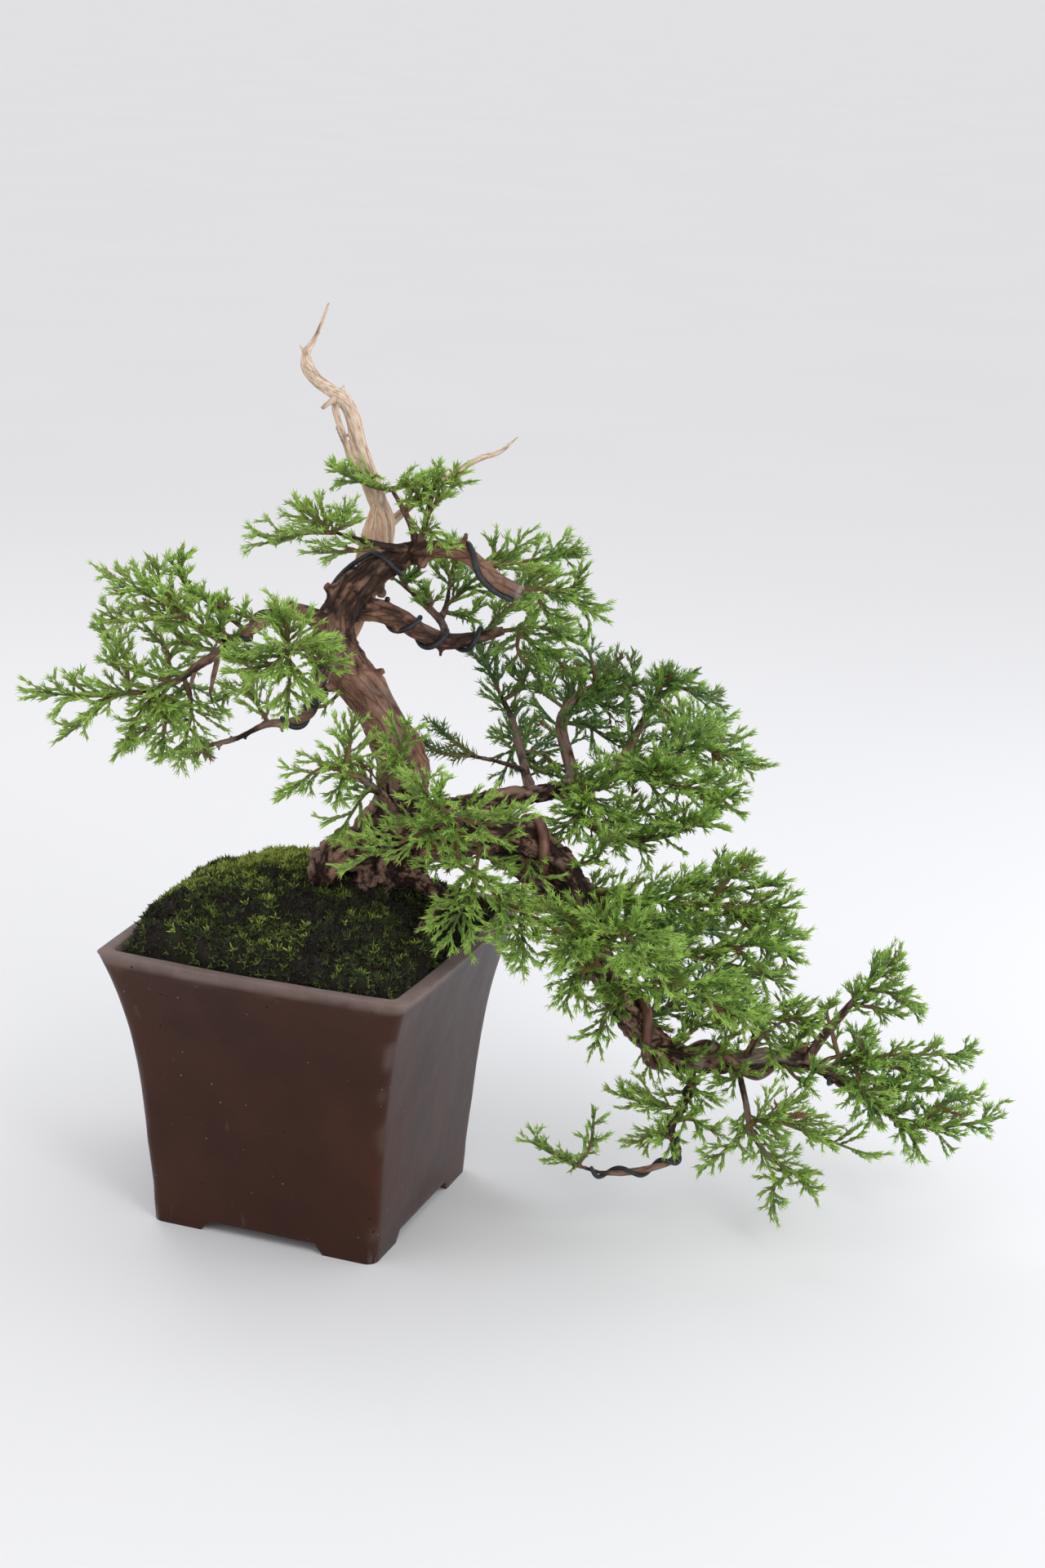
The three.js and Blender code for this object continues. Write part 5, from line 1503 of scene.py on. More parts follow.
@dataclass
class Wires:
    """Training wires that lie on the limbs in even turns."""

    step: float = 9.0
    sides: int = 12
    gap: float = -0.35
    lead_points: int = 40
    cut_end: float = 0.86
    finishes: tuple[WireFinish, ...] = (
        WireFinish(WireSkin.COPPER, tint(104, 72, 62), tint(142, 104, 90), tint(84, 62, 56), 0.6),
        WireFinish(WireSkin.BLACK, tint(38, 41, 45), tint(58, 62, 68), tint(84, 84, 84), 0.35),
    )

    def _route(self, wire: WireRun) -> Array:
        """Lays a wire round its limb.

        Args:
            wire: The wire.

        Returns:
            The points that its middle passes.
        """
        limb = LIMBS[wire.limb]
        course = limb.course()
        shares, turns = [], []
        for (share, angle), (next_share, next_angle) in zip(wire.knots, wire.knots[1:]):
            count = math.ceil(abs(next_angle - angle) / self.step)
            done = np.arange(1 if shares else 0, count + 1) / count
            shares.extend(share + (next_share - share) * done)
            turns.extend(np.radians(angle + (next_angle - angle) * done))
        shares, turns = np.array(shares), np.array(turns)
        reach = limb.radius(shares) + wire.radius + self.gap
        spokes = swing(*frames(course.heading(shares)), turns[:, None])
        route = course.at(shares) + spokes * reach[:, None]
        if not wire.lead:
            return route
        lead = Course(np.vstack([np.array(wire.lead, float), route[:2]]))
        return np.vstack([lead.at(np.linspace(0, 0.97, self.lead_points)), route[1:]])

    def build(self, placing: Placing) -> None:
        """Makes one piece for each wire and puts it in place.

        Args:
            placing: Puts a piece in its place.
        """
        materials = {finish.kind: finish.material() for finish in self.finishes}
        for name, wire in WIRES.items():
            route = self._route(wire)
            radii = np.full(len(route), wire.radius)
            radii[[0, -1]] *= self.cut_end
            skin = Skin()
            skin.add(*sleeve(route, radii, self.sides))
            piece = skin.object(name.replace("wire_", "training_wire_"))
            placing.settle(piece, materials[wire.skin], wire.skin.value, name)


@dataclass
class Pot:
    """Square flared pot: its outline, rim, four feet with notches between, and drain hole.

    Half its width grows along a straight line, to which the flare adds a share of the height raised to
    a power. The inner wall follows a line of its own.
    """

    height: float = 154.0
    foot_half: float = 63.5
    top_half: float = 85.0
    straight: float = 8.8
    inner_straight: float = 3.0
    power: float = 3.6
    bow: float = 2.2
    wall: float = 7.5
    corner: float = 6.0
    inner_corner: float = 4.0
    rim_round: float = 1.6
    edge_round: float = 0.7
    sharp: float = math.radians(38)
    foot_high: float = 6.0
    foot_long: float = 33.0
    foot_wide: float = 13.0
    foot_slope: float = 5.0
    floor: float = 15.0
    drain: float = 14.0
    turn: float = math.radians(-20)
    across: int = 26
    wall_rings: int = 52
    inner_rings: int = 26
    arc_rings: int = 5
    finish: ClayFinish = ClayFinish()

    def half(self, z: Array | float, inner: bool = False) -> Array | float:
        """Gives half the width at heights.

        Args:
            z: The heights.
            inner: Whether the line that the inner wall follows is wanted, and not the outer face.

        Returns:
            Half the width at each.
        """
        share = z / self.height
        straight = self.inner_straight if inner else self.straight
        flare = self.top_half - self.foot_half - straight
        return self.foot_half + straight * share + flare * share**self.power

    def turned(self, points: Array) -> Array:
        """Turns points as the pot stands.

        Args:
            points: Points in the pot's own frame.

        Returns:
            The points in the tree's frame.
        """
        c, s = math.cos(self.turn), math.sin(self.turn)
        x, y = points[..., 0], points[..., 1]
        return np.stack([c * x - s * y, s * x + c * y, points[..., 2]], axis=-1)

    def ring(self, half: float, z: float, corner: float) -> Array:
        """Makes a square ring of points with round corners and bowed sides.

        Args:
            half: Half its width at the corners.
            z: Its height.
            corner: The radius of its corners.

        Returns:
            Its points, in order.
        """
        inner = half - corner
        bow = self.bow * min(z / self.height, 1)
        shares = np.linspace(-1, 1, self.across + 2)[1:-1]
        side = np.stack([half + bow * (1 - shares**2), inner * shares], axis=1)
        angle = np.linspace(-math.pi / 2, 0, 7)
        bend = np.stack([inner + corner * np.cos(angle), -inner + corner * np.sin(angle)], axis=1)
        quarter = np.vstack([bend, side])
        x, y = quarter.T
        flat = np.vstack([quarter, np.column_stack([-y, x]), -quarter, np.column_stack([y, -x])])
        return np.column_stack([flat, np.full(len(flat), z)])

    def _shell(self) -> bpy.types.Object:
        """Makes the shell from the underside up over the rim and down to the floor inside.

        Returns:
            The shell, which is in no collection yet.
        """
        low = self.height - self.rim_round
        rows = [self.ring(self.half(z), z, self.corner) for z in np.linspace(0, low, self.wall_rings)]
        arc = np.linspace(0, math.pi / 2, self.arc_rings)
        insets = self.rim_round * (1 - np.cos(arc))
        heights = self.height - self.rim_round * (1 - np.sin(arc))
        for inset, z in zip(insets[1:], heights[1:]):
            rows.append(self.ring(self.top_half - inset, z, self.corner - inset / 2))
        rows.append(self.ring(self.top_half - self.wall / 2, self.height, self.corner - 1))
        for inset, z in zip(insets[::-1], heights[::-1]):
            rows.append(self.ring(self.top_half - (self.wall - inset), z, self.inner_corner))
        for z in np.linspace(low, self.floor, self.inner_rings)[1:]:
            rows.append(self.ring(self.half(z, True) - self.wall, z, self.inner_corner))
        ends = np.array(((0, 0, 0), (0, 0, self.floor)))
        skin = Skin()
        skin.add(np.vstack([*rows, ends]), *ring_faces(len(rows), len(rows[0])))
        return skin.object("pot_shell")

    def _cutters(self) -> list[bpy.types.Object]:
        """Makes the bodies that are cut away.

        Returns:
            The two notches between the feet, the underside's recess and the drain hole.
        """
        half = self.foot_half - self.foot_long
        slope, top, long = self.foot_slope, self.foot_high, 1.6 * self.foot_half
        section = ((-half - slope, -1), (half + slope, -1), (half, top), (-half, top))
        faces = np.array(((0, 1, 5, 4), (1, 2, 6, 5), (2, 3, 7, 6), (3, 0, 4, 7), (3, 2, 1, 0), (4, 5, 6, 7)))
        box = np.array([(x, y, z) for y in (-long, long) for x, z in section])
        wide = self.foot_half - self.foot_wide
        square = ((-wide, -1), (wide, -1), (wide, top), (-wide, top))
        recess = np.array([(x, y, z) for y in (-wide, wide) for x, z in square])
        shapes = [box, box[:, [1, 0, 2]] * (-1, 1, 1), recess]
        cutters = []
        for index, points in enumerate(shapes):
            skin = Skin()
            skin.add(points, faces[:, ::-1], None)
            cutters.append(skin.object(f"cutter_{index}"))
        skin = Skin()
        drain = np.array([(0, 0, z) for z in (-4.0, 8.0, 16.0, 24.0)])
        skin.add(*sleeve(drain, np.full(4, self.drain), 40))
        cutters.append(skin.object("cutter_drain"))
        return cutters

    def build(self, placing: Placing) -> None:
        """Makes the pot and puts it in place.

        Args:
            placing: Puts a piece in its place.
        """
        piece = self._shell()
        cutters = self._cutters()
        for cutter in cutters:
            bpy.context.scene.collection.objects.link(cutter)
            cut = piece.modifiers.new("cut", "BOOLEAN")
            cut.operation = "DIFFERENCE"
            cut.solver = "EXACT"
            cut.object = cutter
        bevel = piece.modifiers.new("edges", "BEVEL")
        bevel.width = self.edge_round * MM
        bevel.segments = 2
        bevel.limit_method = "ANGLE"
        bevel.angle_limit = math.radians(40)
        mesh = applied(piece)
        for cutter in cutters:
            bpy.data.objects.remove(cutter)
        points, normals = read_surface(mesh)
        wave = 0.35 * rumble(points, 55, 2, 71) + 0.08 * rumble(points, 9, 2, 72)
        moved = points + normals * (wave * smooth(10, 20, points[:, 2]))[:, None]
        moved[:, 2] = np.minimum(moved[:, 2], self.height)
        write_points(mesh, self.turned(moved))
        mesh.polygons.foreach_set("use_smooth", np.ones(len(mesh.polygons), bool))
        z = points[:, 2]
        reach = np.abs(points[:, :2])
        edge = smooth(0.9, 0.985, reach.min(axis=1) / np.maximum(self.half(z), 1))
        worn = smooth(self.height - 8, self.height - 2.5, z + 1.5 * rumble(points, 14, 2, 73))
        worn = worn + edge * 0.35 * smooth(-0.1, 0.5, rumble(points, 20, 2, 74))
        write_value(mesh, "worn", np.clip(worn, 0, 1))
        write_value(mesh, "foot", (1 - smooth(2, 12, z)) * smooth(0.3, 0.9, edge))
        split = piece.modifiers.new("sharp", "EDGE_SPLIT")
        split.split_angle = self.sharp
        applied(piece)
        piece.name = "pot_dressed"
        placing.settle(piece, self.finish.material(), "pot_clay", "pot")


@dataclass
class Moss:
    """Moss on the mound: soft cushions with thousands of small tufts, worn brown in places."""

    pot: Pot
    edge: float = 147.0
    high: float = 31.0
    crest_x: float = 15.0
    low_x: float = 100.0
    low_share: float = 0.6
    thick: float = 5.2
    inset: float = 0.4
    bow: float = 0.018
    corner: float = 5.0
    wide_cushion: float = 15
    small_cushion: float = 5.0
    cells: int = 84
    tufts: int = 8200
    leaves: int = 4
    leaf_long: tuple[float, float] = (2.7, 4.6)
    leaf_half: float = 0.9
    seed: int = 12
    finish: MossFinish = MossFinish()

    def rise(self, x: Array, y: Array) -> Array:
        """Finds the mound's height over the soil's edge.

        Args:
            x: Places across, in the pot's own frame.
            y: Places along, in the pot's own frame.

        Returns:
            The height at each.
        """
        half = self.pot.half(self.edge, True) - self.pot.wall
        u = np.minimum(np.abs(x) / half, 1)
        v = np.minimum(np.abs(y) / half, 1)
        across = x * math.cos(self.pot.turn) - y * math.sin(self.pot.turn)
        fall = smooth(self.crest_x, self.low_x, across)
        return self.high * (1 - u**4) * (1 - v**4) * (1 - self.low_share * fall)

    def _plan(self, u: Array, v: Array) -> tuple[Array, Array]:
        """Lays places into the pot's square, with its bowed sides and round corners.

        Args:
            u: Places across the pot from -1 to 1.
            v: Places along the pot from -1 to 1.

        Returns:
            The places across and along, in millimetres.
        """
        half = self.pot.half(self.edge, True) - self.pot.wall - self.inset
        x = u * half * (1 + self.bow * (1 - v**2))
        y = v * half * (1 + self.bow * (1 - u**2))
        past = [np.maximum(np.abs(place) - half + self.corner, 0) for place in (x, y)]
        reach = np.hypot(*past)
        pull = np.where(reach > self.corner, self.corner / np.maximum(reach, 1e-6), 1.0)
        inner = half - self.corner
        x = np.sign(x) * (np.minimum(np.abs(x), inner) + past[0] * pull)
        y = np.sign(y) * (np.minimum(np.abs(y), inner) + past[1] * pull)
        return x, y

    def _shade(self, flat: Array, world: Array, tones: list[Array], small: Array, lift: Array) -> Array:
        """Finds how bright the moss is, from its own random and brown tones and from painted light and shade.

        Args:
            flat: Places in the pot's own frame.
            world: The same places in the tree's frame.
            tones: The random numbers of the wide and of the small cushion at each.
            small: The distance to the small cushion's middle at each.
            lift: How far the cushions stand up at each.

        Returns:
            The shade at each, from 0 to 1.
        """
        x, y = world[..., 0], world[..., 1]
        front = smooth(0.2, 1.0, 1 - (y + 60) / 90) * smooth(-40, 10, x)
        brown = smooth(0.05, 0.5, rumble(flat, 30, 3, 88) + 0.35 * front)
        # Painted light: a patchy band along the back of the mound, lit from behind.
        lit_crest = smooth(-0.2, 0.5, rumble(flat, 36, 2, 89) + 0.9 * smooth(0, 60, y - 0.5 * x) - 0.3)
        # Random tones of the cushions, and painted light on the higher ones through lift.
        shade = 0.28 + 0.06 * (tones[0] - 0.5) + 0.22 * (tones[1] - 0.5) + 0.07 * (lift - 2)
        # Painted shade in the crevices between small cushions; brown shows less where light is painted.
        shade = shade - 0.1 * smooth(0.45, 0.8, small) + 0.12 * lit_crest - 0.2 * brown * (1 - 0.6 * lit_crest)
        # Painted light along the back outline of the mound.
        shade = shade + 0.75 * smooth(-20, 60, y - 0.7 * x) ** 1.5 * (1 - 0.6 * brown)
        return np.clip(shade, 0.02, 1)

    def top(self, u: Array, v: Array) -> tuple[Array, Array]:
        """Gives points of the moss and its shade.

        Args:
            u: Places across the pot from -1 to 1.
            v: Places along the pot from -1 to 1.

        Returns:
            Points of the pot's own frame, and how bright the moss is at each.
        """
        x, y = self._plan(u, v)
        flat = np.stack([x, y, np.zeros_like(x)], axis=-1)
        world = self.pot.turned(flat)
        uneven = flat + 3 * rumble(flat, 15, 2, 81)[..., None] * np.array((1, 1, 0))
        wide, tone = cushions(uneven, self.wide_cushion, 82)
        small, small_tone = cushions(flat, self.small_cushion, 85)
        lift = 2.4 * (1 - smooth(0.1, 0.8, wide)) + 2.8 * (1 - smooth(0.15, 0.75, small))
        lift = lift + 0.8 * rumble(flat, 26, 2, 86)
        far = np.maximum(np.abs(u), np.abs(v))
        roll = np.sqrt(np.clip((1 - far) / 0.07, 0, 1))
        inward = smooth(-68, -36, world[..., 0])
        fuller = (1 - np.abs(u) ** 7) * (1 - np.abs(v) ** 7) - (1 - u**4) * (1 - v**4)
        towards_back = smooth(-30, 45, 0.6 * world[..., 1] - 0.8 * world[..., 0])
        swell = self.high * fuller * towards_back * (1 - inward)
        brim = smooth(0.82, 0.97, far) * (3.6 + 2.4 * rumble(flat, 30, 2, 91)) * (1.5 - 0.5 * inward)
        cover = np.maximum(self.thick - 2.2 - 2.6 * inward + 0.8 * lift, 0.6)
        z = self.edge + self.rise(x, y) + (cover + np.maximum(brim, 0)) * roll + swell
        spill = smooth(0.8, 0.9, far) * (1 - smooth(0.95, 1, far)) * smooth(-95, -35, world[..., 0])
        spill = spill * smooth(self.pot.height - 1, self.pot.height + 1, z)
        spill = spill * np.clip(3.6 + 5 * rumble(flat, 14, 2, 93), 0, 6)
        x = x + spill * np.sign(u) * smooth(-0.06, 0.06, np.abs(u) - np.abs(v))
        y = y + spill * np.sign(v) * smooth(-0.06, 0.06, np.abs(v) - np.abs(u))
        shade = self._shade(flat, world, [tone, small_tone], small, lift)
        return np.stack([x, y, z + 0.4 * spill], axis=-1), shade

    def _carpet(self, skin: Skin) -> None:
        """Adds the closed carpet under the tufts.

        Args:
            skin: Takes the carpet.
        """
        side = self.cells + 1
        even = np.linspace(-1, 1, side)
        steps = np.sin(even * math.pi / 2) * 0.25 + even * 0.75
        u, v = np.meshgrid(steps, steps, indexing="ij")
        top, shade = self.top(u, v)
        under = top.copy()
        under[..., 2] = self.edge + self.rise(top[..., 0], top[..., 1]) - 0.2
        row = np.arange(side - 1)
        i, j = np.meshgrid(row, row, indexing="ij")
        a = i * side + j
        upper = np.stack([a, a + side, a + side + 1, a + 1], axis=-1).reshape(-1, 4)
        count = side * side
        ring = np.concatenate([
            row * side, (side - 1) * side + row, (side - 1 - row) * side + side - 1, side - 1 - row,
        ])
        after = np.roll(ring, -1)
        walls = np.stack([ring, ring + count, after + count, after], axis=-1)
        quads = np.vstack([upper, upper[:, ::-1] + count, walls])
        points = self.pot.turned(np.vstack([top.reshape(-1, 3), under.reshape(-1, 3)]))
        # Painted shade: the carpet takes 0.4 of the moss's shade value, darker under and between the tufts;
        # its underside takes 0.
        value = np.concatenate([shade.ravel() * 0.4, np.zeros(count)])
        skin.add(points, quads[:, ::-1], None, shade=value)

    def _tufts(self, skin: Skin) -> None:
        """Adds small stars of pointed leaves all over the carpet.

        Args:
            skin: Takes the leaves.
        """
        random = np.random.default_rng(self.seed)
        u = random.uniform(-0.985, 0.985, self.tufts)
        v = random.uniform(-0.985, 0.985, self.tufts)
        root, shade = self.top(u, v)
        step = 0.006
        east = self.top(u + step, v)[0] - root
        north = self.top(u, v + step)[0] - root
        out = unit(unit(np.cross(east, north)) + 0.6 * UP)
        root, out = self.pot.turned(root), self.pot.turned(out)
        shade = shade + random.normal(0, 0.1, len(root))
        glow = random.uniform(0.0, 1.0, len(root)) ** 2.2 * (0.3 + 0.6 * smooth(0.05, 0.4, shade))
        size = random.uniform(0.55, 1.25, len(root))
        turn = random.uniform(0, 2 * math.pi, len(root))
        across = unit(np.cross(out, np.array((0.3, 0.9, 0.1))))
        side = np.cross(out, across)
        for k in range(self.leaves):
            angle = turn + 2 * math.pi * k / (self.leaves - 1) + random.normal(0, 0.25, len(root))
            lean = np.where(k == self.leaves - 1, 0.1, 1.0) * random.uniform(0.45, 0.95, len(root))
            heading = unit(swing(out, swing(across, side, angle[:, None]), lean[:, None]))
            length = size * random.uniform(*self.leaf_long, len(root))
            tip = shade + glow * random.uniform(0.6, 1.2, len(root))
            # Painted shade at each leaf's foot, at 0.4 of the tuft's shade value, among the tufts; the tip
            # takes the tuft's tip value.
            ends = {"shade": (shade * 0.4, tip)}
            add_leaves(skin, root - 0.3 * out, heading, out, length, self.leaf_half * size, ends)

    def build(self, placing: Placing) -> None:
        """Makes the carpet and its tufts, each a piece that stands for the moss.

        Args:
            placing: Puts a piece in its place.
        """
        material = self.finish.material()
        for name, grow in (("moss_carpet", self._carpet), ("moss_tufts", self._tufts)):
            skin = Skin()
            grow(skin)
            placing.settle(skin.object(name, name == "moss_carpet"), material, "moss", "moss")


def add_leaves(
    skin: Skin, root: Array, heading: Array, out: Array, length: Array, half_width: Array,
    values: dict[str, tuple[Array, Array]],
) -> None:
    """Adds pointed leaves, each a closed body of four faces.

    Args:
        skin: Takes the leaves.
        root: Where each leaf stands.
        heading: The unit direction each points.
        out: A direction towards each leaf's outer side.
        length: The length of each.
        half_width: Half the width of each at its foot.
        values: The values at each leaf's foot and at its tip, by name.
    """
    across = unit(np.cross(heading, out))
    back = np.cross(across, heading)
    half = np.asarray(half_width, float).reshape(-1, 1)
    long = np.asarray(length, float).reshape(-1, 1)
    keel = root + heading * 0.35 * long + back * 0.9 * half
    corners = np.stack([root - across * half, root + across * half, keel, root + heading * long], axis=1)
    start = (np.arange(len(root)) * 4)[:, None]
    faces = np.array(((0, 2, 1), (0, 3, 2), (2, 3, 1), (0, 1, 3)))
    triangles = (start[:, None] + faces[None]).reshape(-1, 3)
    given = {}
    for name, (foot, tip) in values.items():
        foot = np.broadcast_to(foot, len(root))
        tip = np.broadcast_to(tip, len(root))
        given[name] = np.stack([foot, foot, 0.5 * (foot + tip), tip], axis=1).ravel()
    skin.add(corners.reshape(-1, 3), None, triangles, **given)


class Habit(Enum):
    """How leaves sit, by the distance between two pairs: pressed on as scales, or long and spread."""

    SCALE = 2.9
    NEEDLE = 1.6


@dataclass
class ShootBed:
    """One spray's skin, and its shoots as rows: root, heading, bend, length, girth, two ages and tone.

    The tone paints light and shade: it goes from 0 for the painted shade of the rear sprays, bluish and
    far, to 1 for the painted light of the front and top ones, fresh. The bushy number tells how close the
    branchlets stand. All of them draw their random numbers from the same seeded source.
    """

    random: Random
    habit: Habit
    tone: float
    bushy: float
    skin: Skin = field(default_factory=Skin)
    star_share: float = 0.4
    star_leaves: int = 5
    star_lean: tuple[float, float] = (0.15, 0.8)
    star_long: tuple[float, float] = (2.8, 4.8)
    star_half: float = 0.4
    scale_lean: tuple[float, float] = (0.1, 0.24)
    needle_lean: tuple[float, float] = (0.7, 1.05)
    needle_long: tuple[float, float] = (4.2, 6.6)
    needle_half: float = 0.6
    end_flare: float = 1.35
    rows: list[Array] = field(default_factory=list)

    def add(self, root: Array, heading: Array, bend: Array, *sizes: Array | float) -> None:
        """Adds shoots.

        Args:
            root: Where each shoot stands.
            heading: The way each points at its foot.
            bend: How far each turns towards its tip.
            *sizes: The length, girth, age, tip age and tone, each one number or one to a shoot.
        """
        columns = [np.broadcast_to(value, len(root)) for value in sizes]
        self.rows.append(np.column_stack([root, unit(heading), bend, *columns]))

    def grow(self) -> Skin:
        """Makes all the shoots.

        Returns:
            The spray's skin with everything in it.
        """
        shoots = np.vstack(self.rows)
        counts = np.maximum(np.round(shoots[:, 9] / self.habit.value).astype(int), 2)
        for count in np.unique(counts):
            self._grow_rows(int(count), shoots[counts == count])
        if self.habit is Habit.SCALE:
            self._stars(shoots[self.random.uniform(size=len(shoots)) < self.star_share])
        return self.skin

    def _stars(self, shoots: Array) -> None:
        """Adds the tufts of short spread leaves that end some of the shoots.

        Args:
            shoots: The rows of those shoots.
        """
        random = self.random
        root, first, bend = shoots[:, :3], shoots[:, 3:6], shoots[:, 6:9]
        length, _, _, tip_age, tone = shoots[:, 9:].T
        last = unit(first + bend)
        end = root + length[:, None] * (first + 0.5 * (last - first))
        side = unit(np.cross(last, UP + 0.01))
        other = np.cross(last, side)
        spin = random.uniform(0, math.pi, len(root))
        ends = {"age": (tip_age, np.ones(len(root))), "tone": (tone, tone)}
        for k in range(self.star_leaves):
            out = swing(side, other, (spin + 2 * math.pi * k / self.star_leaves)[:, None])
            heading = swing(last, out, random.uniform(*self.star_lean, (len(root), 1)))
            long = random.uniform(*self.star_long, len(root))
            wide = np.full(len(root), self.star_half)
            add_leaves(self.skin, end - 0.5 * last, heading, out, long, wide, ends)

    def _grow_rows(self, count: int, shoots: Array) -> None:
        """Adds shoots that all have the same number of leaf pairs.

        Args:
            count: The number of leaf pairs.
            shoots: The rows of the shoots.
        """
        random, is_scale = self.random, self.habit is Habit.SCALE
        root, first, bend = shoots[:, :3], shoots[:, 3:6], shoots[:, 6:9]
        length, girth, age, tip_age, tone = (shoots[:, k][:, None] for k in range(9, 14))
        last = unit(first + bend)
        share = (np.arange(count + 1) / count)[None, :, None]
        turned = (last - first)[:, None]
        centres = root[:, None] + length[..., None] * (share * first[:, None] + 0.5 * share**2 * turned)
        along = unit(first[:, None] + share * turned)
        any_way = np.where(np.abs(first[:, 2:3]) < 0.8, UP, np.array((1.0, 0.0, 0.0)))
        across = unit(np.cross(along, any_way[:, None]))
        side = np.cross(along, across)
        shares = share[0, :, 0][None]
        ages = age + (tip_age - age) * shares**1.3
        self._cores(centres, (across, side), girth * (0.7 - 0.4 * shares), ages, tone[:, 0])
        spin = random.uniform(0, math.pi, (len(root), 1))
        whorl = 2 if is_scale else 3
        for node in range(count):
            turn = spin + (node % 2) * math.pi / whorl
            thin = girth * (1 - 0.14 * shares[:, node])
            leaf_ages = (ages[:, node] * 0.95, np.clip(ages[:, node] + 0.16, 0, 1))
            ends = {"age": leaf_ages, "tone": (tone[:, 0], tone[:, 0])}
            for k in range(whorl):
                angle = turn + 2 * math.pi * k / whorl + random.normal(0, 0.12, turn.shape)
                out = swing(across[:, node], side[:, node], angle)
                if is_scale:
                    flare = self.end_flare if node == count - 1 else 1.0
                    lean = random.uniform(*self.scale_lean, turn.shape) * flare**1.6
                    long = (1.9 + 1.3 * girth) * random.uniform(0.9, 1.2, turn.shape) * flare
                    wide = thin * 0.78
                else:
                    lean = random.uniform(*self.needle_lean, turn.shape)
                    long = random.uniform(*self.needle_long, turn.shape) * (1 - 0.4 * shares[:, node])
                    wide = np.full(turn.shape, self.needle_half)
                foot = centres[:, node] + out * thin * 0.35
                add_leaves(self.skin, foot, swing(along[:, node], out, lean), out, long, wide, ends)

    def _cores(
        self, centres: Array, ways: tuple[Array, Array], radius: Array, ages: Array, tone: Array
    ) -> None:
        """Adds the slim three-sided core of each shoot.

        Args:
            centres: The points along each shoot.
            ways: Two directions across each shoot at those points.
            radius: The radius at those points.
            ages: The age at those points.
            tone: The tone of each shoot.
        """
        picks = np.unique(np.append(np.arange(0, centres.shape[1] - 1, 2), centres.shape[1] - 1))
        rows, rings = len(centres), len(picks)
        across, side = (way[:, picks, None] for way in ways)
        spokes = swing(across, side, (2 * math.pi * np.arange(3) / 3)[:, None])
        points = centres[:, picks, None] + spokes * radius[:, picks][:, :, None, None]
        first = np.arange(rows)[:, None] * rings * 3
        base = first[:, None] + (np.arange(rings - 1) * 3)[:, None]
        own, after = np.arange(3), (np.arange(3) + 1) % 3
        quads = np.stack([base + own, base + after, base + 3 + after, base + 3 + own], axis=-1)
        caps = np.vstack([first + np.array((0, 2, 1)), first + (rings - 1) * 3 + np.array((0, 1, 2))])
        values = {"age": np.repeat(ages[:, picks], 3, axis=1).ravel(), "tone": np.repeat(tone, rings * 3)}
        self.skin.add(points.reshape(-1, 3), quads.reshape(-1, 4)[:, ::-1], caps[:, ::-1], **values)


def pick(table: tuple[tuple[str, float], ...], name: str, plain: float) -> float:
    """Gives the number of the first row whose text a name starts with, or a plain one."""
    return next((number for start, number in table if name.startswith(start)), plain)


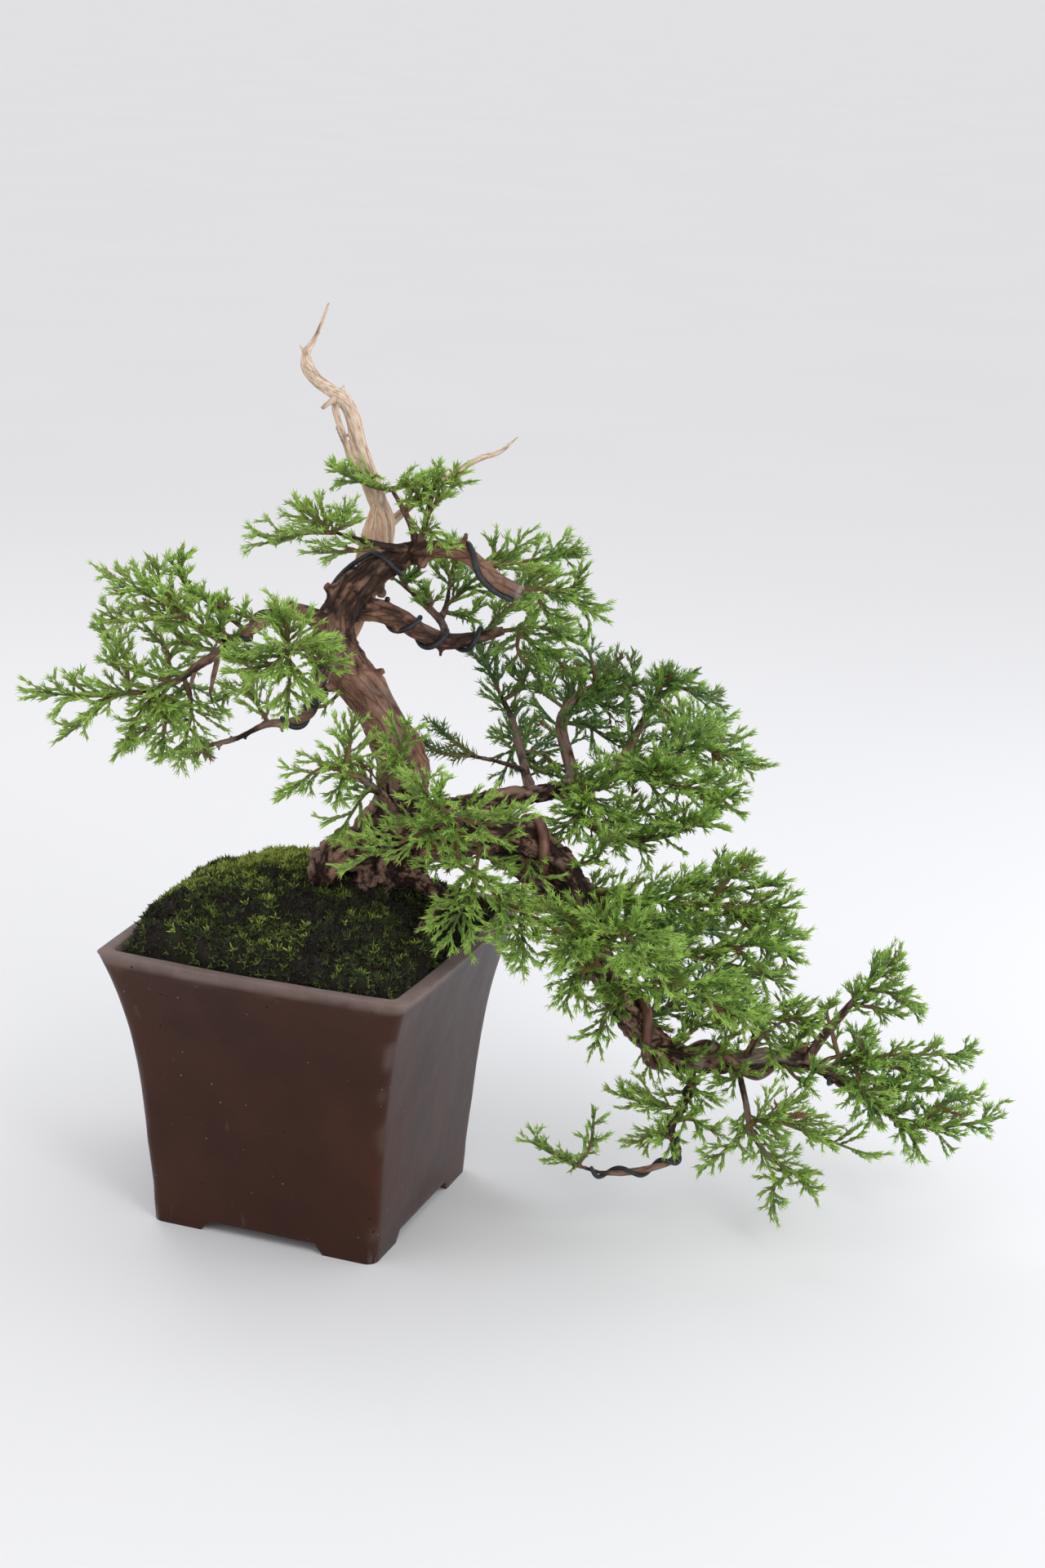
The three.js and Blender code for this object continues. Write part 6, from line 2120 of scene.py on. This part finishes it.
@dataclass
class Foliage:
    """Sprays of cord-like shoots with scale leaves, each spray one piece.

    A leafy row is a stretch of a limb that bears branchlets of its own: the spray, the limb, from where,
    to where, and their length.
    """

    pot: Pot
    moss: Moss
    shoot_girth: float = 0.94
    branchlet_gap: float = 3.2
    side_gap: float = 5.0
    rust_share: float = 0.012
    rust_tone: float = 2.6
    clear: float = 2.0
    fork_share: float = 0.55
    axis_radius: float = 1.25
    shoot_ages: tuple[float, float] = (0.2, 0.46)
    tone_spread: float = 0.12
    seed: int = 500
    needle_spray: str = "juvenile"
    # Tone of each spray by the start of its name, painting light and shade: rear and back sprays darker and
    # bluish, left, crown and loop sprays lighter, low and front ones between.
    tones: tuple[tuple[str, float], ...] = (
        ("rear", 0.12), ("juvenile", 0.12), ("cascade_back", 0.12), ("left", 0.85), ("crown", 0.85),
        ("loop", 0.85), ("low", 0.68), ("cascade_near", 0.68), ("front", 0.68),
    )
    bushy: tuple[tuple[str, float], ...] = (
        ("outer", 1.15), ("low", 0.95), ("pad", 1.3), ("rear", 0.95), ("front_mass", 0.7), ("cascade", 1.0),
        ("crown", 0.85), ("front", 0.85),
    )
    leafy: tuple[tuple[str, str, float, float, float], ...] = (
        ("rear_left", "rearUpLeft", 0.3, 1.0, 16),
        ("rear_mid", "rearUpMid", 0.25, 1.0, 20),
        ("rear_up", "rearUpMid", 0.62, 1.0, 19),
        ("rear_up", "rearUpRight", 0.6, 1.0, 14),
        ("rear_right", "rearUpRight", 0.2, 1.0, 17),
        ("pad_near", "rearLow", 0.3, 1.0, 18),
        ("pad_far", "rearRight", 0.72, 1.0, 22),
        ("cascade_top", "cascade", 0.38, 0.5, 16),
        ("cascade_mid", "cascade", 0.5, 0.6, 20),
        ("outer_up", "outUp", 0.8, 1.0, 9),
        ("outer_long", "cascade", 0.84, 1.0, 15),
        ("low_right", "lowTwigRight", 0.25, 1.0, 17),
        ("low_left", "lowTwig", 0.12, 0.4, 13),
        ("left_tip", "leftBranch", 0.72, 1.0, 15),
        ("front_mass_low", "frontTwigRight", 0.4, 1.0, 18),
    )
    finish: FoliageFinish = FoliageFinish()

    def _axes(self, grown: tuple[Plume, ...]) -> list[Course]:
        """Finds the courses of the plumes of a spray.

        Args:
            grown: The plumes.

        Returns:
            The course of each.
        """
        axes: list[Course] = []
        for plume in grown:
            under = axes[plume.on] if isinstance(plume.on, int) else LIMBS[plume.on].course()
            axes.append(Course(np.vstack([under.at(plume.at), np.array(plume.through, float)])))
        return axes

    def _is_clear(self, points: Array) -> Array:
        """Tells which points lie over the moss and outside the pot.

        Args:
            points: The points.

        Returns:
            True or False for each.
        """
        c, s = math.cos(-self.pot.turn), math.sin(-self.pot.turn)
        x = points[:, 0] * c - points[:, 1] * s
        y = points[:, 0] * s + points[:, 1] * c
        z = points[:, 2]
        top = np.maximum(self.pot.height, self.moss.edge + self.moss.rise(x, y) + 8)
        beside = np.maximum(np.abs(x), np.abs(y)) - self.clear > self.pot.half(np.clip(z, 0, self.pot.height))
        return (z > 2.5) & (beside | (z > top + self.clear))

    def _branchlets(self, bed: ShootBed, course: Course, wide: float) -> None:
        """Adds the branchlets along one course with their side shoots and forks.

        Args:
            bed: Takes the shoots.
            course: The course.
            wide: How long the branchlets are.
        """
        random = bed.random
        count = int(max(course.length() / self.branchlet_gap, 10) * bed.bushy)
        share = np.clip((np.arange(count) + random.uniform(0.2, 0.8, count)) / count, 0.06, 1)
        root, along = course.at(share), course.heading(share)
        flat = np.cross(UP, along)
        flat[np.linalg.norm(flat, axis=1) < 0.35] = (1.0, 0.3, 0.0)
        flat = unit(flat - along * (flat * along).sum(1, keepdims=True))
        order = np.arange(count)
        roll = np.where(order % 2, 1, -1) * random.uniform(0.9, 1.8, count)
        roll = np.where(order % 3 == 2, random.uniform(-1.1, 1.1, count), roll)
        roll = np.where(order % 6 == 5, random.uniform(2.0, 4.3, count), roll)
        out = swing(np.cross(along, flat), flat, roll[:, None])
        heading = unit(swing(along, out, random.uniform(0.5, 1.0, count)[:, None]))
        size = wide * (1.16 - 0.44 * share) * random.uniform(0.75, 1.2, count)
        root = np.vstack([root, course.at(1.0)])
        heading = np.vstack([heading, course.heading(1.0)])
        self._fan(bed, root, heading, np.append(size, wide * 0.64))

    def _fan(self, bed: ShootBed, root: Array, heading: Array, size: Array) -> None:
        """Adds branchlets, their side shoots and the forks on those.

        Args:
            bed: Takes the shoots.
            root: Where each branchlet stands.
            heading: The way each points at its foot.
            size: The length of each.
        """
        random = bed.random
        bend = random.normal(0, 0.09, heading.shape) + 0.18 * UP
        tip = root + size[:, None] * unit(heading + 0.5 * bend)
        clear = self._is_clear(tip) & self._is_clear(root + 0.5 * (tip - root))
        root, heading, size, bend = root[clear], heading[clear], size[clear], bend[clear]
        count = len(root)
        if not count:
            return
        tones = bed.tone + random.normal(0, self.tone_spread, count)
        ages = random.uniform(*self.shoot_ages, count)
        bed.add(root, heading, bend, size, self.shoot_girth * 1.02, ages, 0.93, tones)
        normal = unit(np.cross(heading, np.cross(UP + random.normal(0, 0.35, heading.shape), heading)))
        lateral = np.cross(normal, heading)
        turned = unit(heading + bend) - heading
        rows = []
        for i in range(count):
            places = np.arange(0.12 + 0.12 * random.uniform(), 0.95, self.side_gap / size[i])
            for k, u in enumerate(places):
                angle, roll = random.uniform(0.36, 0.72), random.normal(0, 0.6)
                here = root[i] + size[i] * (u * heading[i] + 0.5 * u * u * turned[i])
                out = swing(lateral[i] if k % 2 else -lateral[i], normal[i], roll)
                way = swing(unit(heading[i] + u * turned[i]), out, angle)
                long = np.clip((0.92 - 0.52 * u) * size[i] * random.uniform(0.5, 1.15), 4.2, 18)
                rows.append((*here, *way, long, 0.3 + 0.38 * u, i))
        table = np.array(rows)
        table[:, 3:6] = unit(table[:, 3:6])
        owner = table[:, 8].astype(int)
        curl = 0.14 * heading[owner] + random.normal(0, 0.09, (len(table), 3)) + 0.1 * UP
        keep = self._is_clear(table[:, :3] + table[:, 3:6] * table[:, 6:7])
        table, curl, owner = table[keep], curl[keep], owner[keep]
        here, way, long, age = table[:, :3], table[:, 3:6], table[:, 6], table[:, 7]
        end_age = np.clip(0.82 + 0.2 * random.uniform(size=len(long)), 0, 1)
        rust = np.where(random.uniform(size=len(long)) < self.rust_share, self.rust_tone, 0.0)
        tones = tones[owner] + rust
        bed.add(here, way, curl, long, self.shoot_girth * 0.9, age, end_age, tones)
        self._forks(bed, (here, way, curl, long, age, tones), normal[owner])

    def _forks(self, bed: ShootBed, shoots: tuple[Array, ...], normal: Array) -> None:
        """Adds the short forks that end the side shoots in a Y or a trident.

        Args:
            bed: Takes the forks.
            shoots: Root, heading, curl, length, age and tone of the side shoots.
            normal: The upper side of the fan at each.
        """
        random = bed.random
        root, heading, curl, size, age, tone = shoots
        turned = unit(heading + curl) - heading
        lateral = unit(np.cross(normal, heading))
        for u, sign, shortest in ((0.45, 1, 7.0), (0.62, -1, 5.6), (0.75, 1, 10.5)):
            rows = (size > shortest) & (random.uniform(size=len(size)) < self.fork_share)
            count = rows.sum()
            if not count:
                continue
            first, bend, long = heading[rows], turned[rows], size[rows]
            here = root[rows] + long[:, None] * (u * first + 0.5 * u * u * bend)
            angle = random.uniform(0.4, 0.75, (count, 1))
            way = swing(unit(first + u * bend), sign * lateral[rows], angle)
            way = way + normal[rows] * random.normal(0, 0.3, (count, 1))
            long = np.clip((0.66 - 0.3 * u) * long * random.uniform(0.7, 1.15, count), 3.2, 7.5)
            own_age = age[rows] + 0.25 * u
            bed.add(here, way, 0.35 * first, long, self.shoot_girth * 0.84, own_age, 0.98, tone[rows])

    def _axis(self, bed: ShootBed, course: Course) -> None:
        """Adds the woody axis of a plume.

        Args:
            bed: Takes the axis.
            course: The course of the plume.
        """
        shares = np.linspace(0, 1, max(int(course.length() / 2.2), 5))
        points = course.at(shares)
        radii = (self.axis_radius - 0.55 * shares) * (1 + 0.16 * rumble(points, 5, 1, 90))
        age = np.append(np.repeat(0.02 + 0.3 * smooth(0.35, 0.95, shares), 6), (0.02, 0.3))
        bed.skin.add(*sleeve(points, radii, 6), age=age, tone=bed.tone)

    def _juvenile(self, bed: ShootBed, course: Course, wide: float) -> None:
        """Adds one feathery shoot of juvenile growth with its side shoots.

        Args:
            bed: Takes the shoots.
            course: The course of the plume.
            wide: How long its side shoots are.
        """
        random = bed.random
        share = np.linspace(0.1, 1, 9)
        root, along = course.at(share), course.heading(share)
        flat = unit(np.cross(UP, along))
        sign = np.where(np.arange(9) % 2, 1.0, -1.0)[:, None]
        lift = np.cross(along, flat) * sign * random.uniform(0.2, 1.0, (9, 1))
        way = unit(along + flat * sign * random.uniform(-0.5, 0.7, (9, 1)) + lift)
        size = wide * (1.1 - 0.5 * share) * random.uniform(0.7, 1.1, 9)
        bed.add(root, way, random.normal(0, 0.1, way.shape), size, 0.6, 0.4, 0.74, 0.15)
        start, middle, end = course.at(0.0), course.heading(0.3), course.heading(1.0)
        bed.add(start, middle, end - middle, course.length(), 0.7, 0.3, 0.74, 0.15)

    def build(self, placing: Placing) -> None:
        """Makes one piece for each spray and puts it in place.

        Args:
            placing: Puts a piece in its place.
        """
        material = self.finish.material()
        for index, (name, grown) in enumerate(SPRAYS.items()):
            random = np.random.default_rng(self.seed + index)
            habit = Habit.NEEDLE if name == self.needle_spray else Habit.SCALE
            branch = self._juvenile if habit is Habit.NEEDLE else self._branchlets
            bed = ShootBed(random, habit, pick(self.tones, name, 0.5), pick(self.bushy, name, 1.0))
            for plume, course in zip(grown, self._axes(grown)):
                self._axis(bed, course)
                branch(bed, course, plume.wide)
            for spray, limb, start, end, wide in self.leafy:
                if spray == name:
                    stretch = LIMBS[limb].course().at(np.linspace(start, end, 4))
                    self._branchlets(bed, Course(stretch), wide)
            piece = bed.grow().object(f"spray_{name}", False)
            placing.settle(piece, material, "foliage", f"foliage_{name}")


@dataclass(frozen=True)
class Lamp:
    """A soft area light: where it hangs, what it faces, its size, power and colour."""

    name: str
    at: Point
    to: Point
    size: float
    power: float
    colour: Point


@dataclass(frozen=True)
class Studio:
    """The camera, the floor and the soft lights."""

    eye: Point = (104.494, -1316.120, 644.464)
    right: Point = (0.999289, 0.011196, 0.035989)
    down: Point = (0.037690, -0.296831, -0.954186)
    ahead: Point = (0.0, 0.954865, -0.297042)
    lens: float = 61.725
    sight: float = 200.0
    floor_half: float = 90000.0
    sky: float = 0.92
    sky_strength: float = 1.04
    lamps: tuple[Lamp, ...] = (
        Lamp("key", (750, -1150, 1150), (80, 0, 200), 450, 5.5, (1.0, 0.985, 0.96)),
        Lamp("window_right", (1300, 250, 300), (60, 0, 110), 800, 7, (0.84, 0.92, 1.0)),
        Lamp("back", (-500, 900, 1100), (60, 0, 250), 500, 2, (1.0, 1.0, 1.0)),
    )
    finish: FloorFinish = FloorFinish()

    def set_up(self, placing: Placing) -> None:
        """Makes the camera, the lights, the world and the floor.

        Args:
            placing: Tells where the tree's frame lies.
        """
        shift = np.array(placing.shift)
        scene = bpy.context.scene
        camera = bpy.data.objects.new("camera", bpy.data.cameras.new("camera"))
        camera.data.lens = self.lens
        camera.data.clip_end = self.sight
        columns = (self.right, tuple(-v for v in self.down), tuple(-v for v in self.ahead))
        turn = Matrix(columns).transposed().to_4x4()
        camera.matrix_world = Matrix.Translation(Vector((np.array(self.eye) + shift) * MM)) @ turn
        scene.collection.objects.link(camera)
        scene.camera = camera
        for lamp in self.lamps:
            light = bpy.data.objects.new(lamp.name, bpy.data.lights.new(lamp.name, "AREA"))
            light.data.size = lamp.size * MM
            light.data.energy = lamp.power
            light.data.color = lamp.colour
            place = Vector((np.array(lamp.at) + shift) * MM)
            target = Vector((np.array(lamp.to) + shift) * MM)
            aim = (target - place).to_track_quat("-Z", "Y").to_matrix().to_4x4()
            light.matrix_world = Matrix.Translation(place) @ aim
            scene.collection.objects.link(light)
        world = bpy.data.worlds.new("studio")
        world.use_nodes = True
        background = world.node_tree.nodes["Background"]
        background.inputs["Color"].default_value = (self.sky, self.sky, self.sky * 1.01, 1.0)
        background.inputs["Strength"].default_value = self.sky_strength
        scene.world = world
        scene.view_settings.view_transform = "Standard"
        skin = Skin()
        half = self.floor_half
        corners = np.array(((-half, -half, 0), (half, -half, 0), (half, half, 0), (-half, half, 0)))
        skin.add(corners, np.array(((0, 1, 2, 3),)), None)
        floor = skin.object("floor", False)
        floor.data.materials.append(self.finish.material())
        scene.collection.objects.link(floor)


def dress_node(frame: dict, node: str, material: bpy.types.Material) -> None:
    """Gives a node of the part its material.

    Args:
        frame: The loaded part.
        node: The node.
        material: The material.
    """
    slots = frame["nodes"][node].data.materials
    slots.clear()
    slots.append(material)


def main() -> None:
    """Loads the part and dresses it."""
    logging.basicConfig(level=logging.INFO, format="%(name)s: %(message)s")
    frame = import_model()
    placing = Placing.from_pot()
    Studio().set_up(placing)
    pot = Pot()
    moss = Moss(pot)
    Wood().build(placing)
    Jin().build(placing)
    Wires().build(placing)
    pot.build(placing)
    moss.build(placing)
    Foliage(pot, moss).build(placing)
    dress_node(frame, "soil", SoilFinish().material())
    dress_node(frame, "drain_screen", MeshFinish().material())


if __name__ == "__main__":
    main()
